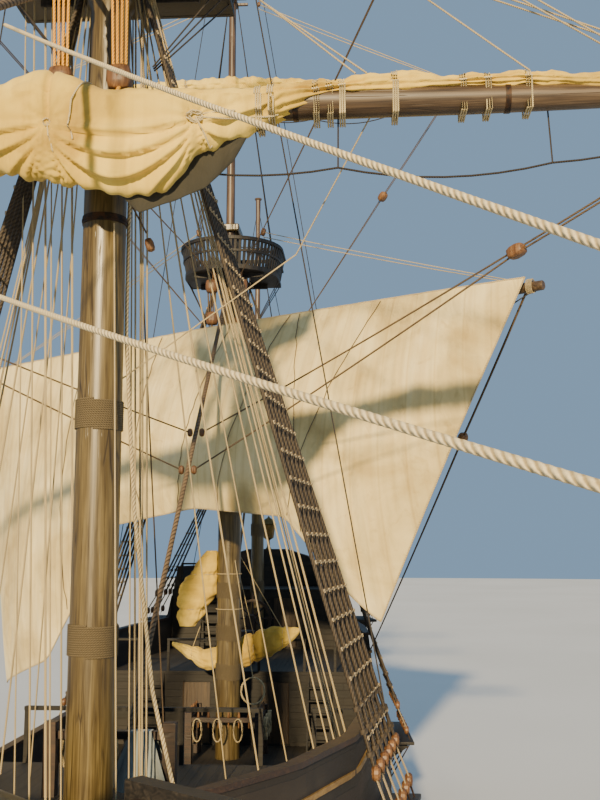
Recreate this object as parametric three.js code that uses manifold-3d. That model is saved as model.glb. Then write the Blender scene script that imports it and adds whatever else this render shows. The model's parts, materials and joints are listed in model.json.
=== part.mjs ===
// A full-size three-masted tall ship. Millimetres, +X towards the bow, +Y to port, +Z up.
// The origin lies on the centreline, at the waterline, amidships.
import * as THREE from 'three';
import { mergeVertices } from 'three/addons/utils/BufferGeometryUtils.js';
import Module from 'manifold-3d';

const wasm = await Module();
wasm.setup();

// Clearances
const GAP = 0.3;
const WELD = 0.001;

// Hull
const BOW_X = 13600;
const STERN_X = -14400;
const KEEL_Z = -3200;
const KEEL_DEPTH = 400;
const KEEL_HALF = 130;
const BULWARK = 130;
const PLANK = 60;
const PAST = 900;
const BEAM_REACH = 6000;
const WALE_TOP = 1050;
const WALE_Z = 700;
const HULL_TOP = 7700;
const TUMBLE_POWER = 1.3;

// Stations from bow to stern: half breadth at the main wale, height of the hull's bottom, fullness of
// the floor from 0 sharp to 1 round, and how far the topsides tuck in at the top.
const STATIONS = [
  { x: BOW_X, half: 340, bottom: 450, full: 0, tuck: -0.7 },
  { x: 13200, half: 1150, bottom: -700, full: 0.04, tuck: -0.15 },
  { x: 12500, half: 1950, bottom: -1900, full: 0.1, tuck: -0.05 },
  { x: 11300, half: 2800, bottom: -2800, full: 0.25, tuck: 0 },
  { x: 9500, half: 3560, bottom: -3150, full: 0.5, tuck: 0.04 },
  { x: 6600, half: 4050, bottom: KEEL_Z, full: 0.8, tuck: 0.1 },
  { x: 2000, half: 4300, bottom: KEEL_Z, full: 1, tuck: 0.15 },
  { x: -3800, half: 4300, bottom: KEEL_Z, full: 1, tuck: 0.17 },
  { x: -8000, half: 4120, bottom: KEEL_Z, full: 0.7, tuck: 0.2 },
  { x: -11600, half: 3720, bottom: KEEL_Z, full: 0.35, tuck: 0.24 },
  { x: -13400, half: 3350, bottom: KEEL_Z, full: 0.1, tuck: 0.27 },
  { x: STERN_X, half: 3080, bottom: KEEL_Z, full: 0, tuck: 0.29 },
];

// The section below the wale: rise as a share of the height, then the width of a round midship section,
// of a sharp bow section and of a sharp stern section, as shares of the half breadth.
const FLOOR = [
  { rise: 0, round: 0, bow: 0, stern: 0 },
  { rise: 0.04, round: 0.36, bow: 0.07, stern: 0.02 },
  { rise: 0.13, round: 0.7, bow: 0.18, stern: 0.04 },
  { rise: 0.28, round: 0.88, bow: 0.38, stern: 0.1 },
  { rise: 0.5, round: 0.96, bow: 0.62, stern: 0.22 },
  { rise: 0.75, round: 0.99, bow: 0.85, stern: 0.52 },
];

// The side above the floor: height, how far a wale stands proud there.
const SIDE = [
  { z: WALE_Z, proud: 0 },
  { z: WALE_Z, proud: 70 },
  { z: WALE_TOP, proud: 70 },
  { z: WALE_TOP, proud: 0 },
  { z: 1900, proud: 0 },
  { z: 1900, proud: 45 },
  { z: 2120, proud: 45 },
  { z: 2120, proud: 0 },
  { z: 3260, proud: 0 },
  { z: 4460, proud: 0 },
  { z: 5850, proud: 0 },
  { z: HULL_TOP, proud: 0 },
];

// Decks: the ends, the deck's top and the rail's top.
const DECKS = [
  { name: 'waist_deck', from: -5500, to: 6600, z: 2900, rail: 4100 },
  { name: 'forecastle_deck', from: 6600, to: 13150, z: 4900, rail: 5850 },
  { name: 'quarterdeck', from: -11600, to: -5500, z: 4900, rail: 5900 },
  { name: 'poop_deck', from: -14270, to: -11600, z: 6900, rail: 7600 },
];
const [WAIST, FORECASTLE, QUARTERDECK, POOP] = DECKS;
const HATCH = { from: 1000, to: 3400, half: 950, depth: 1500, coaming: 110, rise: 320 };

// Masts: position, deck that it stands on, hounds, head and cap, radii, top, topmast and shrouds.
const MASTS = [
  {
    name: 'fore', x: 9800, deck: FORECASTLE.z, hounds: 16560, cap: 18050, foot: 320, neck: 290, head: 190,
    floor: 1640, rim: 1790, topmast: 125, crosstrees: 24600, truck: 28600, tip: 60,
    shrouds: 6, channel: 4460, out: 600, spread: 520, stay: 50,
  },
  {
    name: 'main', x: -3800, deck: WAIST.z, hounds: 15680, cap: 17150, foot: 320, neck: 290, head: 190,
    floor: 1290, rim: 1430, topmast: 120, crosstrees: 23800, truck: 29400, tip: 60,
    shrouds: 6, channel: 3260, out: 750, spread: 520, stay: 50,
  },
  {
    name: 'mizzen', x: -11000, deck: QUARTERDECK.z, hounds: 13000, cap: 14300, foot: 220, neck: 200,
    head: 140, floor: 980, rim: 1090, topmast: 100, crosstrees: 18600, truck: 20500, tip: 85,
    shrouds: 4, channel: 5850, out: 820, spread: 450, stay: 34,
  },
];
const [FORE, MAIN, MIZZEN] = MASTS;
const TOPMAST_AHEAD = 450;
const CHEEK = 55;
const TRESTLE_H = 220;
const SHROUD_R = 30;
const CHANNEL_H = 80;

// Tops: a half round front, straight sides and a straight after edge, whose distance behind the mast is
// a share of the floor's half breadth.
const TOP = {
  back: 0.7, arc: 10, floor: 50, basket: 860, rimWidth: 90, rimLow: 50, rimHigh: 40, slat: 34, slatHead: 30,
  tree: 90, treeAft: 0.68, treeFore: 0.76, cross: 50, crossLow: 90, crossHalf: 0.74, hole: 250, base: 40,
  aft: 270, fore: 90,
};

// Where a top's slats stand: the turn of those on the round front, the shares of the way back of those on
// the sides, and the shares of the half breadth of those on the after edge.
const SLATS = {
  round: [-80, -60, -40, -20, 0, 20, 40, 60, 80],
  sides: [0.2, 0.6, 1],
  after: [-0.72, -0.48, -0.24, 0, 0.24, 0.48, 0.72],
};

// Bowsprit
const BOWSPRIT = { heelX: 11900, heelZ: 5280, tipX: 23900, steeve: 20, heelR: 280, tipR: 150 };

// Yards: the mast they turn on, height, distance ahead of the mast, half length, radii, brace angle
// at rest with the port arm forward, parrel height.
const YARDS = {
  fore: { mast: FORE, z: 14170, ahead: 900, half: 9200, mid: 225, tip: 105, brace: 0, onTopmast: false },
  foreTopsail: { mast: FORE, z: 20700, ahead: 430, half: 6400, mid: 130, tip: 70, brace: 0, onTopmast: true },
  main: { mast: MAIN, z: 13850, ahead: 900, half: 9600, mid: 225, tip: 105, brace: 34, onTopmast: false },
  mainTopsail: { mast: MAIN, z: 20900, ahead: 430, half: 6500, mid: 130, tip: 70, brace: 0, onTopmast: true },
};
const SPRITSAIL = { x: 22500, z: 7500, half: 6600, mid: 125, tip: 65, sling: 32 };
const GAFF = { z: 11200, length: 5000, rise: 40, mid: 105, tip: 65, behind: 110, sail: 60 };
const PARREL = {
  high: 260, wall: 60, play: 0.5, topmast: 0.6, arm: 38, seat: 25, spread: 0.7, inner: 0.6, into: 0.5,
};

// Steering gear and deck fittings
const RUDDER = { stock: 130, chord: 850, top: 1950, sole: -3450, thick: 160, play: 0.5 };
const STERNPOST = 250;
const WHEEL = { x: -9650, z: QUARTERDECK.z + 1150, rim: 600, handle: 790, spokes: 8, axle: 40 };
const CAPSTAN_X = -7300;

const DARK_TIMBER = [0x3a2c20, 0.8, 0];
const OILED_PINE = [0x8a5f2e, 0.5, 0];
const PALE_DECK = [0xa08a68, 0.85, 0];
const TARRED_ROPE = [0x1e1a16, 0.95, 0];
const CANVAS = [0xdac9a0, 0.9, 0];
const IRON = [0x24241f, 0.6, 0.6];
const BRASS = [0xb08a3a, 0.4, 0.9];
const RED_TIMBER = [0x6b3a22, 0.7, 0];

const ship = new THREE.Group();

// Turns a three.js geometry into a closed solid for joins and cuts.
function solid(geometry) {
  const bare = new THREE.BufferGeometry();
  bare.setAttribute('position', geometry.getAttribute('position').clone());
  if (geometry.index) bare.setIndex(geometry.index.clone());
  const merged = mergeVertices(bare, WELD);
  const corners = merged.index.array;
  const triangles = [];
  for (let i = 0; i < corners.length; i += 3) {
    const [a, b, c] = [corners[i], corners[i + 1], corners[i + 2]];
    if (a !== b && b !== c && c !== a) triangles.push(a, b, c);
  }
  return new wasm.Manifold(new wasm.Mesh({
    numProp: 3,
    vertProperties: new Float32Array(merged.getAttribute('position').array),
    triVerts: new Uint32Array(triangles),
  }));
}

// Turns a solid back into a geometry.
function surface(shape) {
  const mesh = shape.getMesh();
  const geometry = new THREE.BufferGeometry();
  geometry.setAttribute('position', new THREE.BufferAttribute(mesh.vertProperties, 3));
  geometry.setIndex(new THREE.BufferAttribute(mesh.triVerts, 1));
  geometry.computeVertexNormals();
  return geometry;
}

function join(shapes) {
  return shapes.reduce((whole, shape) => whole.add(shape));
}

function cut(shape, tools) {
  return tools.reduce((whole, tool) => whole.subtract(tool), shape);
}

function addPiece(name, shape, [color, roughness, metalness], parent = ship) {
  const material = new THREE.MeshStandardMaterial({ color, roughness, metalness, flatShading: true });
  const mesh = new THREE.Mesh(surface(shape), material);
  mesh.name = name;
  parent.add(mesh);
  return mesh;
}

function box(x0, x1, y0, y1, z0, z1) {
  const geometry = new THREE.BoxGeometry(x1 - x0, y1 - y0, z1 - z0);
  geometry.translate((x0 + x1) / 2, (y0 + y1) / 2, (z0 + z1) / 2);
  return solid(geometry);
}

// A round spar between two points, with a radius at each end and a turn about its own axis.
function spar(from, to, r0, r1 = r0, sides = 10, phase = 0) {
  const start = new THREE.Vector3(...from);
  const along = new THREE.Vector3(...to).sub(start);
  const geometry = new THREE.CylinderGeometry(r1, r0, along.length(), sides, 1);
  geometry.rotateY(phase);
  geometry.translate(0, along.length() / 2, 0);
  const turn = new THREE.Quaternion().setFromUnitVectors(new THREE.Vector3(0, 1, 0), along.normalize());
  geometry.applyQuaternion(turn);
  geometry.translate(...from);
  return solid(geometry);
}

// A hole's round tool for a pin, its flats facing the pin's corners with the running gap between.
function socket(from, to, radius, sides) {
  const across = (radius + GAP) / Math.cos(Math.PI / sides);
  return spar(from, to, across, across, sides, Math.PI / sides);
}

// A solid of revolution about the vertical, from radius and height pairs.
function turned(profile, sides = 16, x = 0, phase = 0) {
  const outline = profile.map(([r, z]) => new THREE.Vector2(r, z));
  const geometry = new THREE.LatheGeometry(outline, sides);
  geometry.rotateX(Math.PI / 2);
  geometry.rotateZ(phase);
  geometry.translate(x, 0, 0);
  return solid(geometry);
}

function extruded(outline, depth) {
  const shape = new THREE.Shape(outline.map(([a, b]) => new THREE.Vector2(a, b)));
  return new THREE.ExtrudeGeometry(shape, { depth, bevelEnabled: false });
}

// A flat slab with an outline in plan.
function slab(outline, z0, z1) {
  return solid(extruded(outline, z1 - z0).translate(0, 0, z0));
}

// A plate with an outline seen from the side, from y0 to y1.
function sidePlate(outline, y0, y1) {
  return solid(extruded(outline, y1 - y0).rotateX(Math.PI / 2).translate(0, y1, 0));
}

// Makes a solid of points and triangles, turning it outside out where needed.
function closed(points, triangles) {
  const [p, q, r] = [new THREE.Vector3(), new THREE.Vector3(), new THREE.Vector3()];
  const volume = triangles.reduce((sum, [a, b, c]) => (
    sum + p.set(...points[a]).dot(q.set(...points[b]).cross(r.set(...points[c])))
  ), 0);
  const outward = volume > 0 ? triangles : triangles.map(([a, b, c]) => [a, c, b]);
  const geometry = new THREE.BufferGeometry();
  geometry.setAttribute('position', new THREE.Float32BufferAttribute(points.flat(), 3));
  geometry.setIndex(outward.flat());
  return solid(geometry);
}

// Skins a row of closed loops with the same number of points, and caps both ends. flatten gives the two
// coordinates in which an end is flat.
function loft(loops, flatten) {
  const count = loops[0].length;
  const triangles = [];
  for (let i = 0; i + 1 < loops.length; i += 1) {
    for (let j = 0; j < count; j += 1) {
      const next = (j + 1) % count;
      const [a, b] = [i * count + j, i * count + next];
      triangles.push([a, b, b + count], [a, b + count, a + count]);
    }
  }
  for (const end of [0, loops.length - 1]) {
    const flat = loops[end].map((point) => new THREE.Vector2(...flatten(point)));
    const left = THREE.ShapeUtils.area(flat) > 0;
    for (const [a, b, c] of THREE.ShapeUtils.triangulateShape(flat, [])) {
      const same = (THREE.ShapeUtils.area([flat[a], flat[b], flat[c]]) > 0) === left;
      const [q, r] = same === (end > 0) ? [b, c] : [c, b];
      triangles.push([a, q, r].map((index) => end * count + index));
    }
  }
  return closed(loops.flat(), triangles);
}

const inPlan = ([x, y]) => [x, y];
const acrossShip = ([, y, z]) => [y, z];
const alongShip = ([x, , z]) => [x, z];
const mix = (a, b, share) => a + (b - a) * share;
const radians = THREE.MathUtils.degToRad;

// Half breadth of the topsides at a station and height.
function topside(station, z) {
  const climb = Math.max(0, (z - WALE_TOP) / (HULL_TOP - WALE_TOP));
  return station.half * (1 - station.tuck * climb ** TUMBLE_POWER);
}

// Half breadth of the built hull at any place above the main wale: straight between stations and levels.
function hullHalf(x, z) {
  const aft = STATIONS.findIndex((station, i) => i > 0 && station.x <= x);
  const [front, back] = [STATIONS[aft - 1], STATIONS[aft]];
  const above = SIDE.findIndex((level) => level.z >= z && level.z > WALE_TOP);
  const [low, high] = [SIDE[above - 1].z, SIDE[above].z];
  const at = (station) => mix(topside(station, low), topside(station, high), (z - low) / (high - low));
  return mix(at(back), at(front), (x - back.x) / (front.x - back.x));
}

// One closed section of the hull, grown outwards where a neighbour needs clearance.
function hullSection(station, grow) {
  const sharp = station.x > 0 ? 'bow' : 'stern';
  const height = WALE_Z - station.bottom;
  const floor = FLOOR.map((row) => {
    const share = mix(row[sharp], row.round, station.full);
    return [KEEL_HALF + (station.half - KEEL_HALF) * share, station.bottom + row.rise * height];
  });
  const side = SIDE.map(({ z, proud }) => [topside(station, z) + proud, z]);
  const port = [...floor, ...side].map(([half, z]) => [half + grow, z]);
  port[0][1] -= grow;
  port[port.length - 1][1] += grow;
  const x = station.x + (station.x === BOW_X ? grow : 0) - (station.x === STERN_X ? grow : 0);
  const starboard = port.map(([half, z]) => [x, -half, z]).reverse();
  return [...port.map(([half, z]) => [x, half, z]), ...starboard];
}

const hullSkin = (grow) => loft(STATIONS.map((station) => hullSection(station, grow)), acrossShip);

// The outline of a deck inside the bulwarks.
function deckOutline({ from, to, rail }, inset) {
  const between = STATIONS.map(({ x }) => x).filter((x) => x > from + 1 && x < to - 1);
  const places = [to - inset, ...between, from + inset];
  const port = places.map((x) => [x, hullHalf(x, rail) - BULWARK - inset]);
  return [...port, ...port.map(([x, y]) => [x, -y]).reverse()];
}
const hullClear = hullSkin(GAP);

// Rail line seen from the side: from the bow aft, with hances at the breaks.
const RAIL_LINE = [
  [BOW_X + PAST, FORECASTLE.rail], [6600, FORECASTLE.rail], [6470, 5400], [6330, 4500], [6150, 4190],
  [5500, WAIST.rail], [-4700, WAIST.rail], [-5180, 4220], [-5330, 4700], [-5410, 5500], [-5500, 5900],
  [-11150, QUARTERDECK.rail], [-11400, 6080], [-11500, 6800], [-11600, POOP.rail],
  [STERN_X - PAST, POOP.rail],
];

// Cabins: the ends, half breadth, floor, and the deck that is their roof.
const CABINS = [
  { from: 6590, to: 9000, half: 1900, floor: WAIST.z, roof: FORECASTLE.z },
  { from: -9200, to: -5490, half: 2000, floor: WAIST.z, roof: QUARTERDECK.z },
  { from: -13800, to: -11590, half: 1500, floor: QUARTERDECK.z, roof: POOP.z },
];

function bowspritPoint(x) {
  return [x, 0, BOWSPRIT.heelZ + (x - BOWSPRIT.heelX) * Math.tan(radians(BOWSPRIT.steeve))];
}

function bowspritSpar(grow) {
  const { heelX, tipX, heelR, tipR } = BOWSPRIT;
  return spar(bowspritPoint(heelX - grow), bowspritPoint(tipX + grow), heelR + grow, tipR + grow, 16);
}

function buildHull() {
  const side = [...RAIL_LINE, [STERN_X - PAST, KEEL_Z - PAST], [BOW_X + PAST, KEEL_Z - PAST]];
  const wells = DECKS.map((deck) => slab(deckOutline(deck, -0.5), deck.z - PLANK, HULL_TOP + PAST));
  const cabins = CABINS.map(({ from, to, half, floor, roof }) => box(from, to, -half, half, floor, roof - 1));
  const hatch = box(HATCH.from, HATCH.to, -HATCH.half, HATCH.half, WAIST.z - HATCH.depth, HULL_TOP);
  const notch = bowspritSpar(GAP);
  const body = hullSkin(0).intersect(sidePlate(side, -BEAM_REACH, BEAM_REACH));
  addPiece('hull', cut(body, [...wells, ...cabins, hatch, notch]), DARK_TIMBER);
}

// Keel, sternpost, stem and the knee of the head, from the side.
const BACKBONE = [
  [STERN_X - STERNPOST, KEEL_Z - KEEL_DEPTH], [STERN_X - STERNPOST, 1400], [STERN_X + 300, 1400],
  [STERN_X + 300, KEEL_Z + 300], [9000, KEEL_Z + 300], [12000, -1200], [BOW_X - 300, 900],
  [BOW_X - 300, 5600], [BOW_X + 500, 5600], [BOW_X + 750, 4240], [15900, 4240], [16350, 4420],
  [16700, 4800], [16950, 4700], [16700, 4200], [15900, 3500], [14700, 2500], [14050, 1300],
  [13800, -200], [13100, -1850], [11800, -3100], [9700, KEEL_Z - KEEL_DEPTH],
];

function backbone(grow) {
  const shifts = grow > 0 ? [[grow, 0], [-grow, 0], [0, grow], [0, -grow]] : [[0, 0]];
  const half = KEEL_HALF + grow;
  return join(shifts.map(([dx, dz]) => (
    sidePlate(BACKBONE.map(([x, z]) => [x + dx, z + dz]), -half, half)
  )));
}

// The backbone, seated on the outside of the hull.
function buildBackbone() {
  addPiece('keel_and_stem', cut(backbone(0), [hullClear, bowspritSpar(GAP)]), DARK_TIMBER);
}

function buildDecks() {
  for (const deck of DECKS) {
    const plank = slab(deckOutline(deck, 0), deck.z - PLANK + GAP, deck.z);
    const hatch = box(HATCH.from, HATCH.to, -HATCH.half, HATCH.half, WAIST.z - PLANK, WAIST.z + PLANK);
    addPiece(deck.name, deck === WAIST ? plank.subtract(hatch) : plank, PALE_DECK);
  }
}

// Bulkheads: the deck that they stand on and the one that they rise to, the side that faces out,
// their doors' middles and hinge sides, and their ladders' middles.
const BULKHEADS = [
  {
    name: 'forecastle_bulkhead', x: 6600, facing: -1, low: WAIST, high: FORECASTLE,
    doors: [{ name: 'forecastle_door', y: 0, hinge: -1 }], ladders: [-2350, 2350],
  },
  {
    name: 'cabin_bulkhead', x: -5500, facing: 1, low: WAIST, high: QUARTERDECK,
    doors: [
      { name: 'cabin_door_port', y: 1100, hinge: 1 },
      { name: 'cabin_door_starboard', y: -1100, hinge: -1 },
    ],
    ladders: [-2350, 2350],
  },
  {
    name: 'poop_bulkhead', x: -11600, facing: 1, low: QUARTERDECK, high: POOP,
    doors: [{ name: 'poop_door', y: 900, hinge: 1 }], ladders: [-1600],
  },
];
const DOOR = { half: 380, foot: 60, height: 1640, thick: 40, proud: 4, clear: 4 };
const PIN = { r: 14, out: 16, reach: 50, lug: 34, half: 30, sides: 8, seat: 10, edge: 26 };
const LADDER = {
  half: 330, run: 1050, steps: 5, tread: 200, cheek: 45, deep: 230, under: 60, step: 35, below: 40,
};
const BREAST = {
  height: 830, post: 35, pitch: 1300, rail: 55, deep: 60, thick: 30, foot: 40, into: 20, clear: 4,
};

function ladderAt(x, facing, y, z0, z1) {
  const [foot, head] = [x + facing * LADDER.run, x];
  const rise = z1 - z0;
  const parts = [-1, 1].map((side) => {
    const edge = y + side * LADDER.half;
    const outline = [[foot, z0], [foot - facing * LADDER.deep, z0], [head, z1 - LADDER.deep], [head, z1]];
    const inner = edge - side * LADDER.cheek;
    return sidePlate(outline, Math.min(edge, inner), Math.max(edge, inner));
  });
  for (let i = 1; i <= LADDER.steps; i += 1) {
    const share = i / (LADDER.steps + 1);
    const back = LADDER.run * share + LADDER.deep / 2 * (1 - share);
    const [middle, z] = [foot - facing * back, z0 + rise * share - LADDER.under];
    const reach = LADDER.tread / 2;
    parts.push(box(middle - reach, middle + reach, y - LADDER.half, y + LADDER.half, z, z + LADDER.step));
  }
  return join(parts);
}

function breastRail(x, y0, y1, z) {
  const count = Math.max(1, Math.round((y1 - y0) / BREAST.pitch));
  const { rail, deep, thick, foot, into } = BREAST;
  const top = z + BREAST.height;
  const parts = [box(x - rail, x + rail, y0, y1, top, top + deep)];
  for (let i = 0; i <= count; i += 1) {
    const y = mix(y0 + BREAST.post, y1 - BREAST.post, i / count);
    parts.push(box(x - thick, x + thick, y - BREAST.post, y + BREAST.post, z - foot, top + into));
  }
  return join(parts);
}

function buildBulkheads() {
  for (const { name, x, facing, low, high, doors, ladders } of BULKHEADS) {
    const [back, face] = [x + facing * GAP, x + facing * PLANK];
    const [x0, x1] = [Math.min(back, face), Math.max(back, face)];
    const reach = Math.min(hullHalf(x, low.rail), hullHalf(face, low.rail)) - BULWARK - GAP;
    const wall = box(x0, x1, -reach, reach, low.z + GAP, high.z);
    const openings = doors.map(({ y }) => (
      box(x0 - 10, x1 + 10, y - DOOR.half, y + DOOR.half, low.z + DOOR.foot, low.z + DOOR.foot + DOOR.height)
    ));
    const steps = ladders.map((y) => ladderAt(face - facing, facing, y, low.z + GAP, high.z - LADDER.below));
    const middle = (x0 + x1) / 2;
    const inside = Math.min(hullHalf(x, high.rail), hullHalf(x - facing * PLANK, high.rail)) - BULWARK;
    const gangway = LADDER.half + LADDER.under;
    const stops = [-inside, ...ladders.flatMap((y) => [y - gangway, y + gangway]), inside];
    const rails = [];
    for (let i = 0; i < stops.length; i += 2) {
      rails.push(breastRail(middle, stops[i] + BREAST.clear, stops[i + 1] - BREAST.clear, high.z));
    }
    const hinges = doors.map((door) => {
      const reachY = DOOR.half - DOOR.clear;
      const foot = low.z + DOOR.foot + DOOR.clear;
      const head = foot + DOOR.height - 2 * DOOR.clear;
      const [pinX, pinY] = [face + facing * PIN.out, door.y + door.hinge * reachY];
      return { door, reachY, foot, head, pinX, pinY };
    });
    const lugs = hinges.flatMap(({ foot, head, pinX, pinY }) => (
      [foot - PIN.reach, head + PIN.reach - PIN.lug].map((z) => {
        const [inner, outer] = [face - facing * PIN.seat, pinX + facing * PIN.edge];
        const [low0, high0] = [Math.min(inner, outer), Math.max(inner, outer)];
        const block = box(low0, high0, pinY - PIN.half, pinY + PIN.half, z, z + PIN.lug);
        return block.subtract(socket([pinX, pinY, z - 5], [pinX, pinY, z + PIN.lug + 5], PIN.r, PIN.sides));
      })
    ));
    addPiece(name, join([cut(wall, openings), ...steps, ...rails, ...lugs]), RED_TIMBER);
    for (const { door, reachY, foot, head, pinX, pinY } of hinges) {
      const [outer, inner] = [face + facing * DOOR.proud, face + facing * (DOOR.proud - DOOR.thick)];
      const [x2, x3] = [Math.min(inner, outer), Math.max(inner, outer)];
      const leaf = box(x2, x3, door.y - reachY, door.y + reachY, foot, head);
      const [pinFoot, pinHead] = [foot - PIN.reach, head + PIN.reach];
      const pin = spar([pinX, pinY, pinFoot], [pinX, pinY, pinHead], PIN.r, PIN.r, PIN.sides);
      addPiece(door.name, leaf.add(pin), OILED_PINE);
    }
  }
}

// A lower mast's head: how far below the hounds the cheeks start and reach their full width, how far the
// neck steps in, the cap's reach aft, past the topmast and beside the masthead, and its depth.
const MASTHEAD = {
  cheeks: 500, full: 450, step: 20, above: 60, aft: 90, fore: 110, side: 70, cap: 200, play: 0.5,
};

// A topmast: share of its radius at the crosstrees and above them, its heel, fid, crosstrees, trees, truck.
const POLE = { head: 0.8, heel: 200, over: 50, fid: 35, fidH: 70, fidOut: 60, truck: 45, truckH: 60 };
const CROSSTREES = {
  apart: 160, half: 35, reach: 420, deep: 40, tree: 300, treeHalf: 40, treeDrop: 70, treeTop: 10,
};
const MAST_SIDES = 16;
const POLE_SIDES = 12;
const YARD_SIDES = 12;

// Radius of a lower mast at a height, straight from its foot to its neck.
function mastRadius(mast, z) {
  return mix(mast.foot, mast.neck, (z - mast.deck) / (mast.hounds - MASTHEAD.cheeks - mast.deck));
}

// Radius of a topmast at a height: even up to the cap, then tapering to the crosstrees.
function topmastRadius(mast, z) {
  const climb = Math.max(0, (z - mast.cap - POLE.over) / (mast.crosstrees - mast.cap));
  return mix(mast.topmast, mast.topmast * POLE.head, climb);
}

function buildLowerMast(mast, parent) {
  const { deck, hounds, cap, foot, neck, head, topmast } = mast;
  const { cheeks, full, step, above, aft, fore, side, play } = MASTHEAD;
  const shoulder = hounds - TRESTLE_H - GAP;
  const pole = turned([
    [0, deck + GAP], [foot, deck + GAP], [neck, hounds - cheeks], [neck + CHEEK, hounds - full],
    [neck + CHEEK, shoulder], [neck - step, shoulder], [neck - step, hounds], [head, hounds + above],
    [head, cap], [0, cap],
  ], MAST_SIDES);
  const under = cap - MASTHEAD.cap;
  const block = box(-head - aft, TOPMAST_AHEAD + topmast + fore, -head - side, head + side, under, cap);
  const bore = topmast + play;
  const hole = turned([[0, under - PLANK], [bore, under - PLANK], [bore, cap + PLANK], [0, cap + PLANK]],
    POLE_SIDES, TOPMAST_AHEAD);
  addPiece(`${mast.name}_lower_mast`, cut(join([pole, block]), [hole]), OILED_PINE, parent);
}

// A top's outline in plan, with its half breadth and its distance behind the mast.
function topOutline(half, back) {
  const outline = [];
  for (let i = 0; i <= TOP.arc; i += 1) {
    const angle = mix(-90, 90, i / TOP.arc);
    outline.push([half * Math.cos(radians(angle)), half * Math.sin(radians(angle))]);
  }
  return [[-back, -half], ...outline, [-back, half]];
}

// The places of a top's slats on an outline like its own.
function slatPlaces(half, back) {
  const turns = SLATS.round.map((angle) => radians(angle));
  const round = turns.map((turn) => [half * Math.cos(turn), half * Math.sin(turn)]);
  const sides = [-1, 1].flatMap((side) => SLATS.sides.map((share) => [-back * share, side * half]));
  const after = SLATS.after.map((share) => [-back, share * half]);
  return [...round, ...sides, ...after];
}

// A top: trestle trees on the mast's cheeks, crosstrees, a floor with a lubber's hole, and a basket of
// slats under a rim.
function buildTop(mast, parent) {
  const { hounds, floor, rim, neck, head, topmast } = mast;
  const inner = neck - MASTHEAD.step + GAP;
  const [aft, fore] = [-head - TOP.aft, TOPMAST_AHEAD + topmast + TOP.fore];
  const half = inner + TOP.hole;
  const trestles = [1, -1].map((side) => {
    const [near, far] = [side * inner, side * (inner + TOP.tree)];
    const [y0, y1] = [Math.min(near, far), Math.max(near, far)];
    return box(-floor * TOP.treeAft, floor * TOP.treeFore, y0, y1, hounds - TRESTLE_H, hounds);
  });
  const reach = floor * TOP.crossHalf;
  const crosstrees = [aft - TOP.cross, fore + TOP.cross].map((x) => (
    box(x - TOP.cross, x + TOP.cross, -reach, reach, hounds - TOP.crossLow, hounds + TOP.cross)
  ));
  const base = hounds + TOP.base;
  const edge = hounds + TOP.basket;
  const back = floor * TOP.back;
  const rimBack = back + rim - floor;
  const deck = slab(topOutline(floor, back), base, base + TOP.floor);
  const hole = box(aft, fore, -half, half, hounds, hounds + TRESTLE_H);
  const outer = slab(topOutline(rim, rimBack), edge - TOP.rimLow, edge + TOP.rimHigh);
  const within = topOutline(rim - TOP.rimWidth, rimBack - TOP.rimWidth);
  const ring = outer.subtract(slab(within, edge - 2 * TOP.rimLow, edge + 2 * TOP.rimHigh));
  const heads = slatPlaces(rim - TOP.rimWidth / 2, rimBack - TOP.rimWidth / 2);
  const slats = slatPlaces(floor - 2 * TOP.slat, back - 2 * TOP.slat).map(([x, y], i) => (
    spar([x, y, base + TOP.floor / 2], [...heads[i], edge], TOP.slat, TOP.slatHead, 4)
  ));
  const whole = join([...trestles, ...crosstrees, deck.subtract(hole), ring, ...slats]);
  addPiece(`${mast.name}_top`, whole, DARK_TIMBER, parent);
}

function buildTopmast(mast, parent) {
  const { hounds, cap, topmast, crosstrees, truck, tip, neck } = mast;
  const head = topmast * POLE.head;
  const button = tip + POLE.truck;
  const pole = turned([
    [0, hounds - POLE.heel], [topmast, hounds - POLE.heel], [topmast, cap + POLE.over], [head, crosstrees],
    [head * POLE.head, crosstrees + POLE.truckH], [tip, truck - POLE.truckH],
    [button, truck - POLE.truckH + 10], [button, truck], [0, truck],
  ], POLE_SIDES, TOPMAST_AHEAD);
  const [aft, fore] = [TOPMAST_AHEAD - POLE.fid, TOPMAST_AHEAD + POLE.fid];
  const out = neck + POLE.fidOut;
  const fid = box(aft, fore, -out, out, hounds + GAP, hounds + POLE.fidH);
  const { apart, half, reach, deep, tree, treeHalf, treeDrop, treeTop } = CROSSTREES;
  const cross = [-apart, apart].map((x) => TOPMAST_AHEAD + x).map((x) => (
    box(x - half, x + half, -reach, reach, crosstrees - deep, crosstrees + deep)
  ));
  const [heel, nose] = [TOPMAST_AHEAD - tree, TOPMAST_AHEAD + tree];
  const trees = [-1, 1].map((side) => side * head).map((y) => (
    box(heel, nose, y - treeHalf, y + treeHalf, crosstrees - treeDrop, crosstrees + treeTop)
  ));
  addPiece(`${mast.name}_topmast`, join([pole, fid, ...cross, ...trees]), OILED_PINE, parent);
}

// A shroud gang: the first shroud behind the mast, the shrouds' place inside the channel's edge, the
// channel's reach past them and into the hull, the collar's place at the masthead, and its spacing.
const GANG = {
  first: 300, inside: 90, past: 220, inner: 2000, aft: 100, side: 85, above: 120, collar: 110, collarR: 62,
  ahead: 60, step: 24,
};

// The places where one side's shrouds stand on their channel, in the ship's frame.
function shroudFeet(mast, side) {
  const feet = [];
  for (let i = 0; i < mast.shrouds; i += 1) {
    const x = mast.x - GANG.first - i * mast.spread;
    const y = hullHalf(x, mast.channel) + mast.out - GANG.inside;
    feet.push([x, side * y, mast.channel + CHANNEL_H / 2]);
  }
  return feet;
}

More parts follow.
